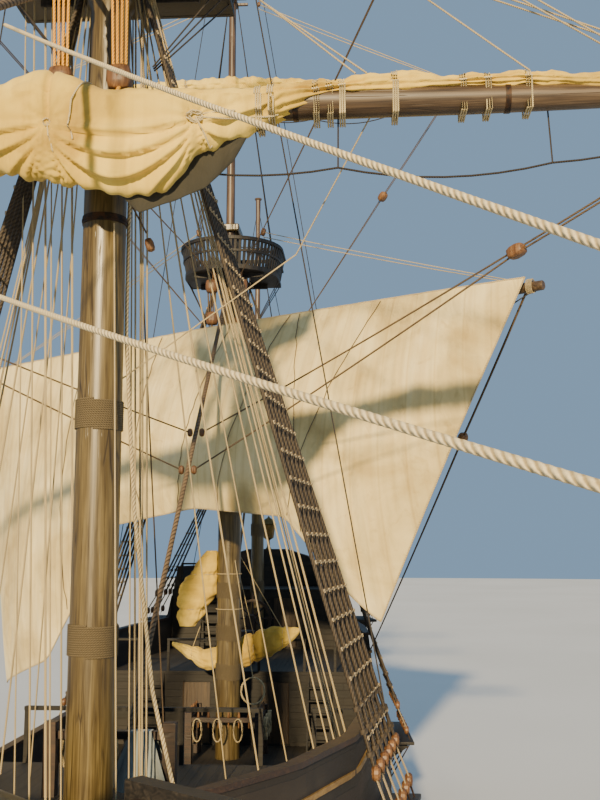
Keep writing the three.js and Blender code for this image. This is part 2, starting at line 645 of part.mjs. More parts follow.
// One side's shrouds, joined by the channel that spreads them and by the collars round the masthead.
function buildShrouds(mast, side, name) {
  const feet = shroudFeet(mast, side);
  const [first, last] = [feet[0][0] + GANG.past, feet[feet.length - 1][0] - GANG.past];
  const inner = side * GANG.inner;
  const edge = (x) => side * (hullHalf(x, mast.channel) + mast.out);
  const outline = [[first, inner], [first, edge(first)], [last, edge(last)], [last, inner]];
  const channel = slab(outline, mast.channel, mast.channel + CHANNEL_H).subtract(hullClear);
  const [x, y, z] = [mast.x - GANG.aft, side * (mast.neck + GANG.side), mast.hounds + GANG.above];
  const collar = spar([x - GANG.collar, y, z], [x + GANG.collar, y, z], GANG.collarR, GANG.collarR, 8);
  const ropes = feet.map((foot, i) => (
    spar(foot, [x + GANG.ahead - i * GANG.step, y, z], SHROUD_R, SHROUD_R, 6)
  ));
  addPiece(name, join([channel, collar, ...ropes]), TARRED_ROPE);
}

// A stay's legs: distance ahead of the mast and above the hounds. They start beside the masthead, pass
// between the mast and the topmast's heel, and meet where the rope starts.
const STAY_LEGS = [
  { ahead: 50, up: 230 },
  { ahead: 300, up: -40 },
  { ahead: 600, up: -250 },
  { ahead: 950, up: -505 },
];
const STAY = { leg: 0.9, beside: 20, apart: 12, start: { ahead: 930, up: -485 } };

// Where the stays end: along the bowsprit, on the forecastle deck, and up the main mast behind its middle.
const STAY_FEET = { fore: 21300, main: 8250, mizzen: 5950, behind: 150 };

// A stay: two legs from the masthead round the topmast's heel, then one rope down to its seat.
function buildStay(mast, foot, seat, name) {
  const { x, hounds, neck, head, topmast, stay } = mast;
  const between = (topmast + neck - MASTHEAD.step) / 2;
  const sides = [head + stay + STAY.beside, between, between, STAY.apart];
  const leg = stay * STAY.leg;
  const legs = [1, -1].flatMap((side) => {
    const path = STAY_LEGS.map(({ ahead, up }, i) => [x + ahead, side * sides[i], hounds + up]);
    return path.slice(1).map((point, i) => spar(path[i], point, leg, leg, 6));
  });
  const start = [x + STAY.start.ahead, 0, hounds + STAY.start.up];
  const rope = spar(start, foot, stay, stay, 8).subtract(seat);
  addPiece(name, join([...legs, rope]), TARRED_ROPE);
}

const SADDLE = { x: 110, y: 60, deep: 330 };
const BEES = { from: 500, to: 120, half: 260, low: 170, high: 100 };

// The bowsprit with the saddle that the spritsail yard hangs from. Gives the length of the yard's sling.
function buildBowsprit() {
  const { z, x } = SPRITSAIL;
  const crown = bowspritPoint(x)[2];
  const saddle = box(x - SADDLE.x, x + SADDLE.x, -SADDLE.y, SADDLE.y, crown - SADDLE.deep, crown);
  const { from, to, half, low, high } = BEES;
  const [tip, top] = [BOWSPRIT.tipX, bowspritPoint(BOWSPRIT.tipX)[2]];
  const bees = box(tip - from, tip - to, -half, half, top - low, top - high);
  addPiece('bowsprit', join([bowspritSpar(0), saddle, bees]), OILED_PINE);
  return crown - SADDLE.deep - z;
}

// A yard's shape: shares of its half length where it starts to taper and where it tapers faster, and its
// radius there as a share of its middle's.
const TAPER = { even: 0.18, fast: 0.55, share: 0.86 };

// A yard's radius at a distance along it.
function yardRadius({ half, mid, tip }, y) {
  const share = Math.abs(y) / half;
  const { even, fast } = TAPER;
  const quarter = mid * TAPER.share;
  if (share < even) return mid;
  if (share < fast) return mix(mid, quarter, (share - even) / (fast - even));
  return mix(quarter, tip, (share - fast) / (1 - fast));
}

// A tapered spar across the ship, even over its middle, grown where a neighbour needs clearance.
function yardSpar({ half, mid, tip }, x, grow) {
  const { even, fast, share } = TAPER;
  const arm = [[0, half + grow], [tip + grow, half + grow], [mid * share + grow, half * fast],
    [mid + grow, half * even]];
  const profile = [...arm.map(([r, y]) => [r, -y]), ...arm.reverse()];
  const outline = profile.map(([r, y]) => new THREE.Vector2(r, y));
  return solid(new THREE.LatheGeometry(outline, YARD_SIDES).translate(x, 0, 0));
}

// The parrel: a collar that turns round the mast, its flats facing the mast's corners at rest.
function parrel(radius, sides, turn, height, grow) {
  const inner = (radius + PARREL.play) / Math.cos(Math.PI / sides) - grow;
  const outer = radius + PARREL.wall + grow;
  const [low, high] = [-height / 2 - grow, height / 2 + grow];
  const profile = [[inner, low], [outer, low], [outer, high], [inner, high], [inner, low]];
  return turned(profile, sides, 0, Math.PI / sides + turn);
}

// A yard with its parrel, in the frame of the mast at the yard's height.
function yardShape(yard, grow) {
  const { mast, z, ahead, mid, brace, onTopmast } = yard;
  const height = onTopmast ? PARREL.high * PARREL.topmast : PARREL.high;
  const radius = onTopmast ? topmastRadius(mast, z - height / 2) : mastRadius(mast, z - height / 2);
  const sides = onTopmast ? POLE_SIDES : MAST_SIDES;
  const spread = mid * PARREL.spread;
  const arms = [-1, 1].map((side) => {
    const from = [radius + PARREL.seat, side * spread * PARREL.inner, 0];
    const to = [ahead - mid * PARREL.into, side * spread, 0];
    return spar(from, to, PARREL.arm + grow, PARREL.arm + grow, 6);
  });
  const collar = parrel(radius, sides, radians(brace), height, grow);
  return join([yardSpar(yard, ahead, grow), collar, ...arms]);
}

// Places along a furled sail, from the starboard arm to the port arm: middle ahead of the yard and above
// it, half thickness fore and aft, thickness above and below the middle.
const FURLED_COURSE = [
  { y: -8700, ahead: 30, above: 80, deep: 80, up: 80, down: 50 },
  { y: -6700, ahead: 50, above: 170, deep: 140, up: 90, down: 80 },
  { y: -4700, ahead: 50, above: 190, deep: 150, up: 120, down: 110 },
  { y: -3300, ahead: 60, above: 150, deep: 190, up: 140, down: 120 },
  { y: -2600, ahead: 130, above: 0, deep: 250, up: 190, down: 320 },
  { y: -2000, ahead: 200, above: -60, deep: 320, up: 200, down: 620 },
  { y: -1200, ahead: 240, above: -100, deep: 400, up: 265, down: 830 },
  { y: -450, ahead: 240, above: 0, deep: 400, up: 460, down: 1080 },
  { y: 300, ahead: 240, above: -100, deep: 400, up: 190, down: 1150 },
  { y: 750, ahead: 240, above: -100, deep: 390, up: 180, down: 1330 },
  { y: 1100, ahead: 240, above: -100, deep: 380, up: 170, down: 1180 },
  { y: 1500, ahead: 220, above: -80, deep: 360, up: 145, down: 900 },
  { y: 2150, ahead: 180, above: -60, deep: 300, up: 165, down: 525 },
  { y: 2450, ahead: 120, above: 0, deep: 240, up: 170, down: 300 },
  { y: 2800, ahead: 80, above: 70, deep: 200, up: 165, down: 195 },
  { y: 3400, ahead: 60, above: 140, deep: 180, up: 125, down: 100 },
  { y: 4100, ahead: 60, above: 190, deep: 160, up: 195, down: 195 },
  { y: 4700, ahead: 50, above: 190, deep: 140, up: 95, down: 90 },
  { y: 5800, ahead: 50, above: 225, deep: 140, up: 105, down: 100 },
  { y: 6700, ahead: 50, above: 170, deep: 140, up: 80, down: 80 },
  { y: 8700, ahead: 30, above: 80, deep: 80, up: 80, down: 50 },
];
const FURLED_TOPSAIL = [
  { y: -6000, ahead: 20, above: 50, deep: 60, up: 55, down: 40 },
  { y: -2500, ahead: 50, above: 80, deep: 150, up: 140, down: 100 },
  { y: -800, ahead: 80, above: 70, deep: 230, up: 230, down: 200 },
  { y: 0, ahead: 90, above: 60, deep: 250, up: 270, down: 280 },
  { y: 800, ahead: 80, above: 70, deep: 230, up: 230, down: 200 },
  { y: 2500, ahead: 50, above: 80, deep: 150, up: 140, down: 100 },
  { y: 6000, ahead: 20, above: 50, deep: 60, up: 55, down: 40 },
];
const FURL_SIDES = 10;

// A closed loop of points, each placed by its cosine and sine round the loop.
function loopOf(place) {
  const loop = [];
  for (let i = 0; i < FURL_SIDES; i += 1) {
    const angle = i * 2 * Math.PI / FURL_SIDES;
    loop.push(place(Math.cos(angle), Math.sin(angle)));
  }
  return loop;
}

function furledSail(yard, rows) {
  const loops = rows.map(({ y, ahead, above, deep, up, down }) => (
    loopOf((c, s) => [yard.ahead + ahead + deep * c, y, above + (s > 0 ? up : down) * s])
  ));
  return loft(loops, alongShip).subtract(yardShape(yard, GAP));
}

// The awning slung behind the main mast, from its starboard tip to its port tip, and the staysail lashed
// to the mast's starboard side, from the top down: middles and half sizes.
const AWNING = [
  { y: -1600, z: 5760, deep: 60, high: 50 },
  { y: -1200, z: 5560, deep: 180, high: 180 },
  { y: -700, z: 5330, deep: 240, high: 270 },
  { y: 200, z: 5500, deep: 260, high: 430 },
  { y: 800, z: 5720, deep: 240, high: 420 },
  { y: 1300, z: 5890, deep: 180, high: 320 },
  { y: 1650, z: 6000, deep: 110, high: 200 },
  { y: 1850, z: 6120, deep: 50, high: 60 },
];
const STAYSAIL = [
  { z: 8250, y: -480, half: 120, deep: 90 },
  { z: 8100, y: -530, half: 250, deep: 170 },
  { z: 7800, y: -620, half: 340, deep: 220 },
  { z: 7400, y: -800, half: 540, deep: 260 },
  { z: 7150, y: -850, half: 560, deep: 260 },
  { z: 6900, y: -960, half: 460, deep: 230 },
  { z: 6450, y: -1090, half: 340, deep: 190 },
  { z: 6250, y: -1120, half: 180, deep: 110 },
];
const STOWED_X = { awning: -4330, staysail: -3900 };

function buildStowedSails(mainMast) {
  const awning = AWNING.map(({ y, z, deep, high }) => (
    loopOf((c, s) => [STOWED_X.awning + deep * c, y, z + high * s])
  ));
  addPiece('stowed_awning', loft(awning, alongShip).subtract(mainMast), CANVAS);
  const staysail = STAYSAIL.map(({ z, y, half, deep }) => (
    loopOf((c, s) => [STOWED_X.staysail + deep * c, y + half * s, z])
  ));
  addPiece('stowed_staysail', loft(staysail, inPlan).subtract(mainMast), CANVAS);
}

// The foot and leeches of the set course, from the starboard clew to the port clew: share of the head,
// distance along the yard, height above the waterline.
const COURSE_FOOT = [
  { share: -1, along: -8500, z: 4200 },
  { share: -0.78, along: -6700, z: 4700 },
  { share: -0.56, along: -4800, z: 5250 },
  { share: -0.4, along: -3300, z: 7100 },
  { share: -0.24, along: -2000, z: 8900 },
  { share: 0.1, along: 1000, z: 9300 },
  { share: 0.45, along: 3800, z: 9050 },
  { share: 0.62, along: 4500, z: 8300 },
  { share: 0.8, along: 5100, z: 7500 },
  { share: 1, along: 5750, z: 6700 },
];
const COURSE = {
  head: 9300, above: 270, droop: 110, off: 12, thick: 40, belly: 1450, deepest: 0.62, start: 0.02,
  flat: 0.8, twist: 700, rows: 10,
};
const LASHING = { shares: [-0.75, -0.3, 0.3, 0.75], behind: 5, half: 45, low: 20, high: 25 };

// A point of the course: share along the head from -1 to 1, drop from 0 at the head to 1 at the foot.
function coursePoint(yard, share, drop, behind) {
  const right = COURSE_FOOT.findIndex((row) => row.share >= share);
  const [a, b] = [COURSE_FOOT[Math.max(0, right - 1)], COURSE_FOOT[right]];
  const part = a === b ? 0 : (share - a.share) / (b.share - a.share);
  const along = mix(COURSE.head * share, mix(a.along, b.along, part), drop);
  const top = COURSE.above - COURSE.droop * Math.abs(share);
  const z = mix(top, mix(a.z, b.z, part) - yard.z, drop);
  const swell = Math.sin(Math.PI * Math.min(1, drop * COURSE.deepest + COURSE.start));
  const belly = COURSE.belly * swell * (1 - share ** 4 * COURSE.flat);
  const twist = share < 0 ? COURSE.twist * share * share * drop : 0;
  return [yard.ahead + yard.mid + COURSE.off + belly - twist - behind, along, z];
}

function setCourse(yard) {
  const shares = COURSE_FOOT.flatMap(({ share }, i) => (
    i + 1 < COURSE_FOOT.length ? [share, mix(share, COURSE_FOOT[i + 1].share, 0.5)] : [share]
  ));
  const count = shares.length;
  const points = [];
  const triangles = [];
  for (const behind of [0, COURSE.thick]) {
    for (let j = 0; j <= COURSE.rows; j += 1) {
      points.push(...shares.map((share) => coursePoint(yard, share, j / COURSE.rows, behind)));
    }
  }
  const at = (layer, j, i) => (layer * (COURSE.rows + 1) + j) * count + i;
  const quad = (a, b, c, d) => triangles.push([a, b, c], [a, c, d]);
  for (let j = 0; j < COURSE.rows; j += 1) {
    for (let i = 0; i + 1 < count; i += 1) {
      quad(at(0, j, i), at(0, j, i + 1), at(0, j + 1, i + 1), at(0, j + 1, i));
      quad(at(1, j, i), at(1, j + 1, i), at(1, j + 1, i + 1), at(1, j, i + 1));
    }
    quad(at(0, j, 0), at(0, j + 1, 0), at(1, j + 1, 0), at(1, j, 0));
    quad(at(0, j, count - 1), at(1, j, count - 1), at(1, j + 1, count - 1), at(0, j + 1, count - 1));
  }
  for (let i = 0; i + 1 < count; i += 1) {
    quad(at(0, 0, i), at(1, 0, i), at(1, 0, i + 1), at(0, 0, i + 1));
    const bottom = COURSE.rows;
    quad(at(0, bottom, i), at(0, bottom, i + 1), at(1, bottom, i + 1), at(1, bottom, i));
  }
  // Lashings over the yard.
  const { shares: lashed, half, low, high } = LASHING;
  const lashings = lashed.map((share) => {
    const [x, y] = coursePoint(yard, share, 0, LASHING.behind);
    const top = yardRadius(yard, y);
    return box(yard.ahead, x, y - half, y + half, top - low, top + high);
  });
  return cut(join([closed(points, triangles), ...lashings]), [yardShape(yard, GAP)]);
}

function yardGroup(yard) {
  const group = new THREE.Group();
  group.position.set(yard.mast.x + (yard.onTopmast ? TOPMAST_AHEAD : 0), 0, yard.z);
  group.rotation.z = -radians(yard.brace);
  ship.add(group);
  return group;
}

function buildYards() {
  const rows = [
    { yard: YARDS.fore, name: 'fore_yard', sail: 'fore_course', furl: FURLED_COURSE },
    { yard: YARDS.foreTopsail, name: 'fore_topsail_yard', sail: 'fore_topsail', furl: FURLED_TOPSAIL },
    { yard: YARDS.main, name: 'main_yard', sail: 'main_course', furl: null },
    { yard: YARDS.mainTopsail, name: 'main_topsail_yard', sail: 'main_topsail', furl: FURLED_TOPSAIL },
  ];
  for (const { yard, name, sail, furl } of rows) {
    const group = yardGroup(yard);
    addPiece(name, yardShape(yard, 0), OILED_PINE, group);
    addPiece(sail, furl ? furledSail(yard, furl) : setCourse(yard), CANVAS, group);
  }
}

function buildSpritsailYard(slingHeight) {
  const group = new THREE.Group();
  group.position.set(SPRITSAIL.x, 0, SPRITSAIL.z);
  ship.add(group);
  const sling = spar([0, 0, 0], [0, 0, slingHeight - GAP], SPRITSAIL.sling, SPRITSAIL.sling, 8);
  addPiece('spritsail_yard', join([yardSpar(SPRITSAIL, 0, 0), sling]), OILED_PINE, group);
}

function gaffShape(grow) {
  const radius = mastRadius(MIZZEN, GAFF.z - PARREL.high / 2);
  const [c, s] = [Math.cos(radians(GAFF.rise)), Math.sin(radians(GAFF.rise))];
  const start = -radius - GAFF.behind;
  const end = [start - GAFF.length * c, 0, GAFF.length * s];
  const collar = parrel(radius, MAST_SIDES, 0, PARREL.high, grow);
  return join([collar, spar([start, 0, 0], end, GAFF.mid + grow, GAFF.tip + grow, 10)]);
}

// The brailed sail below the gaff: distance along the gaff, drop below it, radius.
const MIZZEN_ROLL = [
  { along: 250, drop: 260, r: 150 },
  { along: 1500, drop: 290, r: 210 },
  { along: 4700, drop: 150, r: 90 },
];

function buildGaff() {
  const group = new THREE.Group();
  group.position.set(MIZZEN.x, 0, GAFF.z);
  ship.add(group);
  addPiece('mizzen_gaff', gaffShape(0), OILED_PINE, group);
  const [c, s] = [Math.cos(radians(GAFF.rise)), Math.sin(radians(GAFF.rise))];
  const at = ({ along, drop }) => [-MIZZEN.neck - GAFF.sail - along * c, 0, along * s - drop];
  const rolls = MIZZEN_ROLL.slice(1).map((row, i) => (
    spar(at(MIZZEN_ROLL[i]), at(row), MIZZEN_ROLL[i].r, row.r, 10)
  ));
  addPiece('mizzen_sail', cut(join(rolls), [gaffShape(GAP)]), CANVAS, group);
}

// The rudder's blade from the side: share of its chord behind the stock, height.
const RUDDER_BLADE = [
  { chord: 0, z: RUDDER.sole },
  { chord: 1, z: RUDDER.sole },
  { chord: 1, z: -1200 },
  { chord: 0.72, z: 300 },
  { chord: 0.62, z: 1150 },
  { chord: 0.4, z: 1300 },
  { chord: 0, z: 1300 },
];

function buildRudder() {
  const axis = STERN_X - STERNPOST - RUDDER.stock - RUDDER.play;
  const group = new THREE.Group();
  group.position.set(axis, 0, 0);
  ship.add(group);
  const { stock: r, sole, top } = RUDDER;
  const stock = turned([[0, sole], [r, sole], [r, top], [0, top]]);
  const outline = RUDDER_BLADE.map(({ chord, z }) => [-RUDDER.chord * chord, z]);
  const blade = sidePlate(outline, -RUDDER.thick / 2, RUDDER.thick / 2);
  addPiece('rudder', join([stock, blade]), DARK_TIMBER, group);
  return axis;
}

// Levels of the stern gallery: height, how far aft it reaches, half breadth beside the transom.
const GALLERY = [
  { z: 1450, aft: 120, half: 2500 },
  { z: 2350, aft: 620, half: 3010 },
  { z: 4200, aft: 740, half: 2960 },
  { z: 5900, aft: 860, half: 2620 },
  { z: 7350, aft: 960, half: 2330 },
  { z: 8000, aft: 1000, half: 1500 },
  { z: 8250, aft: 1015, half: 700 },
];

// The hole in the gallery that the rudder's stock turns in.
const RUDDER_PORT = { r: RUDDER.stock + 20, low: 1000, high: 2100 };

function buildGallery(rudderAxis) {
  const front = STERN_X - GAP;
  const loops = GALLERY.map(({ z, aft, half }) => (
    [[front, half, z], [STERN_X - aft, half, z], [STERN_X - aft, -half, z], [front, -half, z]]
  ));
  const { r, low, high } = RUDDER_PORT;
  const port = turned([[0, low], [r, low], [r, high], [0, high]], 16, rudderAxis);
  addPiece('stern_gallery', cut(loft(loops, inPlan), [port]), RED_TIMBER);
}

// The lantern on the gallery's crown, turned: radius and height above its foot.
const LANTERN = [
  { r: 0, up: 0 },
  { r: 120, up: 0 },
  { r: 60, up: 80 },
  { r: 45, up: 330 },
  { r: 190, up: 420 },
  { r: 260, up: 900 },
  { r: 290, up: 930 },
  { r: 150, up: 1120 },
  { r: 50, up: 1180 },
  { r: 0, up: 1260 },
];
const LANTERN_X = STERN_X - 600;

function buildLantern() {
  const foot = GALLERY[GALLERY.length - 1].z + GAP;
  const profile = LANTERN.map(({ r, up }) => [r, foot + up]);
  addPiece('stern_lantern', turned(profile, 8, LANTERN_X), BRASS);
}

// The port head rails, from the bow to the knee of the head: places on the upper and the lower rail.
const HEAD_RAILS = [
  { upper: [13150, 1500, 5350], lower: [13300, 1200, 3500] },
  { upper: [14300, 1050, 4950], lower: [14500, 800, 3650] },
  { upper: [15500, 560, 4760], lower: [15600, 420, 4000] },
  { upper: [16350, 170, 4800], lower: [16350, 160, 4500] },
];
const HEAD = {
  floor: 4240, thick: 60, aft: [13500, 1000], fore: [16300, 190], rail: 62, timber: 50, cross: 0.55,
  clear: 20,
};

function buildBeakhead() {
  const { thick, rail, timber } = HEAD;
  const [floor, [x0, y0], [x1, y1]] = [HEAD.floor + GAP, HEAD.aft, HEAD.fore];
  const deck = slab([[x0, y0], [x0, -y0], [x1, -y1], [x1, y1]], floor, floor + thick);
  const rails = [1, -1].flatMap((side) => {
    const [upper, lower] = ['upper', 'lower'].map((level) => (
      HEAD_RAILS.map((row) => [row[level][0], side * row[level][1], row[level][2]])
    ));
    const runs = [upper, lower].flatMap((path) => (
      path.slice(1).map((point, i) => spar(path[i], point, rail, rail, 5))
    ));
    const timbers = [1, 2].map((i) => spar(lower[i], upper[i], timber, timber, 4));
    const middle = [lower[1][0], 0, floor + thick / 2];
    const beam = spar(middle, mixPoint(lower[1], upper[1], HEAD.cross), timber, timber, 4);
    return [...runs, ...timbers, beam];
  });
  const whole = cut(join([deck, ...rails]), [hullClear, backbone(GAP), bowspritSpar(HEAD.clear)]);
  addPiece('beakhead', whole, DARK_TIMBER);
}

function mixPoint(a, b, share) {
  return a.map((value, i) => mix(value, b[i], share));
}

// Catheads: a port beam's ends in plan, its thickness, its knee from the side and where its anchor hangs.
const CATHEAD = {
  inner: [12750, 1250], outer: [13950, 2750], thick: 220, into: 20,
  knee: { from: 250, to: 1500, drop: 1000, thick: 160 }, hang: 160,
};

function buildCathead(side, name) {
  const { inner, outer, thick, into, knee } = CATHEAD;
  const [from, to] = [inner, outer].map(([x, y]) => new THREE.Vector2(x, side * y));
  const run = to.clone().sub(from);
  const foot = FORECASTLE.rail + GAP;
  const place = (geometry) => solid(geometry.rotateZ(run.angle()).translate(from.x, from.y, 0));
  const length = run.length();
  const beam = place(new THREE.BoxGeometry(length, thick, thick).translate(length / 2, 0, foot + thick / 2));
  const outline = [[knee.from, foot + into], [knee.to, foot + into], [knee.from, foot - knee.drop]];
  const plate = extruded(outline, knee.thick).rotateX(Math.PI / 2).translate(0, knee.thick / 2, 0);
  addPiece(name, beam.add(place(plate).subtract(hullClear)), DARK_TIMBER);
}

// Anchors: total height, its arms and palms, its shank, stock, ring and the block that it hangs from.
const ANCHOR = {
  high: 3500, elbow: [520, 190], bill: [860, 620], arm: [95, 75, 80, 45],
  palm: { at: 760, thick: 40, half: 150, low: 330, high: 660 },
  shank: [105, 75], below: 60, head: 420, stock: { half: 1150, down: 640, r: 110 },
  ring: { r: 150, bar: 32, down: 330 }, block: { x: 70, y: 60, deep: 260 },
};

function buildAnchor(side, name) {
  const [inner, outer] = [CATHEAD.inner, CATHEAD.outer].map(([a, b]) => new THREE.Vector2(a, b));
  const { x, y: port } = outer.clone().lerp(inner, CATHEAD.hang / outer.distanceTo(inner));
  const y = side * port;
  const top = FORECASTLE.rail;
  const { high, elbow, bill, arm, palm, shank, stock, ring, block } = ANCHOR;
  const crown = top - high;
  const arms = [1, -1].flatMap((way) => {
    const path = [
      [x, y, crown], [x + way * elbow[0], y, crown + elbow[1]], [x + way * bill[0], y, crown + bill[1]],
    ];
    const at = x + way * palm.at;
    const fluke = box(at - palm.thick, at + palm.thick, y - palm.half, y + palm.half, crown + palm.low,
      crown + palm.high);
    return [spar(path[0], path[1], arm[0], arm[1], 6), spar(path[1], path[2], arm[2], arm[3], 6), fluke];
  });
  const pole = spar([x, y, crown - ANCHOR.below], [x, y, top - ANCHOR.head], shank[0], shank[1], 6);
  const across = top - stock.down;
  const bar = spar([x - stock.half, y, across], [x + stock.half, y, across], stock.r, stock.r, 4);
  const loop = solid(new THREE.TorusGeometry(ring.r, ring.bar, 4, 8).rotateX(Math.PI / 2)
    .translate(x, y, top - ring.down));
  const tackle = box(x - block.x, x + block.x, y - block.y, y + block.y, top - block.deep, top);
  addPiece(name, join([pole, bar, loop, tackle, ...arms]), IRON);
}

// The hatch's rebate, its grating's clearance and thickness, and the pattern of the grating's holes.
const GRATING = { rebate: 50, side: 44, thick: 76, deep: 80, over: 10 };
const GRATING_HOLES = { along: 5, across: 3, first: [120, 110], pitch: [450, 600], size: [360, 480] };

function buildHatch() {
  const { from, to, half, coaming, rise } = HATCH;
  const { rebate, side, thick, deep, over } = GRATING;
  const [floor, top] = [WAIST.z + GAP, WAIST.z + GAP + rise];
  const outer = box(from - coaming, to + coaming, -half - coaming, half + coaming, floor, top);
  const inner = box(from, to, -half, half, floor - over, top + over);
  const ledge = box(from - rebate, to + rebate, -half - rebate, half + rebate, top - deep, top + over);
  addPiece('hatch_coaming', cut(outer, [inner, ledge]), DARK_TIMBER);

  const bed = top - deep + GAP;
  const frame = box(from - side, to + side, -half - side, half + side, bed, bed + thick);
  const { along, across, first, pitch, size } = GRATING_HOLES;
  const holes = [];
  for (let i = 0; i < along; i += 1) {
    for (let j = 0; j < across; j += 1) {
      const [x, y] = [from + first[0] + i * pitch[0], -half + first[1] + j * pitch[1]];
      holes.push(box(x, x + size[0], y, y + size[1], bed - over, bed + thick + over));
    }
  }
  addPiece('hatch_grating', cut(frame, holes), DARK_TIMBER);
}

// The capstan, turned: radius and height above the deck; then its whelps' places and sizes.
const CAPSTAN = [
  { r: 0, up: 0 },
  { r: 340, up: 0 },
  { r: 340, up: 110 },
  { r: 190, up: 150 },
  { r: 160, up: 560 },
  { r: 230, up: 700 },
  { r: 330, up: 720 },
  { r: 330, up: 960 },
  { r: 0, up: 960 },
];
const WHELPS = { count: 6, foot: 235, head: 190, low: 100, high: 730, thick: 50, tip: 42 };

function buildCapstan() {
  const base = QUARTERDECK.z + GAP;
  const drum = turned(CAPSTAN.map(({ r, up }) => [r, base + up]), 16, CAPSTAN_X);
  const whelps = [];
  for (let i = 0; i < WHELPS.count; i += 1) {
    const angle = i * 2 * Math.PI / WHELPS.count;
    const [c, s] = [Math.cos(angle), Math.sin(angle)];
    const low = [CAPSTAN_X + WHELPS.foot * c, WHELPS.foot * s, base + WHELPS.low];
    const high = [CAPSTAN_X + WHELPS.head * c, WHELPS.head * s, base + WHELPS.high];
    whelps.push(spar(low, high, WHELPS.thick, WHELPS.tip, 4));
  }
  addPiece('capstan', join([drum, ...whelps]), RED_TIMBER);
}

// Pin rails: the deck, the posts' places, the rail's height; then the sizes that they share.
const PIN_RAILS = [
  { name: 'fore_bitts', z: FORECASTLE.z, posts: [[8700, -850], [8700, 850]], height: 900 },
  {
    name: 'main_fife_rail', z: WAIST.z, height: 1150,
    posts: [[-4450, -900], [-3000, -900], [-3000, 900], [-4450, 900]],
  },
];
const PIN_RAIL = { post: 90, above: 120, half: 70, deep: 110 };

function buildPinRails() {
  const { post, above, half, deep } = PIN_RAIL;
  for (const { name, z, posts, height } of PIN_RAILS) {
    const top = z + height;
    const uprights = posts.map(([x, y]) => box(x - post, x + post, y - post, y + post, z + GAP, top + above));
    const beams = posts.slice(1).map(([x, y], i) => {
      const [px, py] = posts[i];
      const [x0, y0] = [Math.min(x, px) - half, Math.min(y, py) - half];
      return box(x0, Math.max(x, px) + half, y0, Math.max(y, py) + half, top - deep, top);
    });
    addPiece(name, join([...uprights, ...beams]), RED_TIMBER);
  }
}

// The wheel's stand: its posts behind the wheel, their sizes and feet, and the sill between them; then
// the wheel's felloe, hub, spokes and barrel.
const STAND = {
  posts: [200, 760], thick: 60, half: 130, above: 150, footX: 75, footY: 420, footH: 110,
  sill: 90, sillH: 100,
};
const FELLOE = { inside: 70, outside: 20, half: 35 };
const HUB = { half: 60, r: 130, spoke: 30, spokeTip: 20, past: 80, clear: 75, barrel: 150 };

function buildWheel() {
  const { x, z, rim, handle, spokes, axle } = WHEEL;
  const { thick, half, above, footX, footY, footH, sill, sillH } = STAND;
  const deck = QUARTERDECK.z + GAP;
  const [near, far] = STAND.posts.map((behind) => x + behind);
  const posts = [near, far].map((post) => join([
    box(post - thick, post + thick, -half, half, deck, z + above),
    box(post - footX, post + footX, -footY, footY, deck, deck + footH),
  ]).subtract(socket([post - 2 * thick, 0, z], [post + 2 * thick, 0, z], axle, 8)));
  const base = box(near, far, -sill, sill, deck, deck + sillH);
  addPiece('wheel_stand', join([...posts, base]), RED_TIMBER);

  const group = new THREE.Group();
  group.position.set(x, 0, z);
  ship.add(group);
  const [inner, outer] = [rim - FELLOE.inside, rim + FELLOE.outside];
  const felloe = [[inner, -1], [outer, -1], [outer, 1], [inner, 1], [inner, -1]];
  const outline = felloe.map(([r, side]) => new THREE.Vector2(r, side * FELLOE.half));
  const ring = new THREE.LatheGeometry(outline, 16).rotateZ(Math.PI / 2);
  const parts = [solid(ring), spar([-HUB.half, 0, 0], [HUB.half, 0, 0], HUB.r, HUB.r, 10)];
  for (let i = 0; i < spokes; i += 1) {
    const angle = i * 2 * Math.PI / spokes;
    const tip = [0, handle * Math.cos(angle), handle * Math.sin(angle)];
    parts.push(spar([0, 0, 0], tip, HUB.spoke, HUB.spokeTip, 4));
  }
  const [from, to] = [near - x + HUB.clear, far - x - HUB.clear];
  parts.push(spar([0, 0, 0], [far - x + HUB.past, 0, 0], axle, axle, 8));
  parts.push(spar([from, 0, 0], [to, 0, 0], HUB.barrel, HUB.barrel, 10));
  addPiece('steering_wheel', join(parts), OILED_PINE, group);
}

buildHull();
buildBackbone();
buildDecks();
buildBulkheads();
const rudderAxis = buildRudder();
buildGallery(rudderAxis);
buildLantern();
buildBeakhead();
for (const [side, word] of [[1, 'port'], [-1, 'starboard']]) {
  buildCathead(side, `cathead_${word}`);
  buildAnchor(side, `anchor_${word}`);
}
buildHatch();
buildCapstan();
buildPinRails();
buildWheel();
for (const mast of MASTS) {
  const group = new THREE.Group();
  group.position.set(mast.x, 0, 0);
  ship.add(group);
  buildLowerMast(mast, group);
  buildTop(mast, group);
  buildTopmast(mast, group);
  buildShrouds(mast, 1, `${mast.name}_shrouds_port`);
  buildShrouds(mast, -1, `${mast.name}_shrouds_starboard`);
}
buildSpritsailYard(buildBowsprit());
const mastSeat = turned([
  [0, MAIN.deck], [MAIN.foot + GAP, MAIN.deck], [MAIN.neck + GAP, MAIN.hounds - MASTHEAD.cheeks],
  [0, MAIN.hounds - MASTHEAD.cheeks],
], MAST_SIDES, MAIN.x);
const deckSeat = slab(deckOutline(FORECASTLE, 0), FORECASTLE.z - BEAM_REACH, FORECASTLE.z + GAP);
buildStay(FORE, bowspritPoint(STAY_FEET.fore), bowspritSpar(GAP), 'fore_stay');
buildStay(MAIN, [STAY_FEET.main, 0, FORECASTLE.z - PLANK], deckSeat, 'main_stay');
buildStay(MIZZEN, [MAIN.x - STAY_FEET.behind, 0, STAY_FEET.mizzen], mastSeat, 'mizzen_stay');
buildStowedSails(mastSeat);
buildYards();
buildGaff();

export default ship;
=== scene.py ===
"""Looks of a three-masted tall ship, built around its solids. Metres, +X to the bow, +Y to port, +Z up."""
import functools
import json
import logging
import math
from dataclasses import dataclass
from enum import Enum

import bpy
import numpy as np
from mathutils import Matrix, Vector, noise

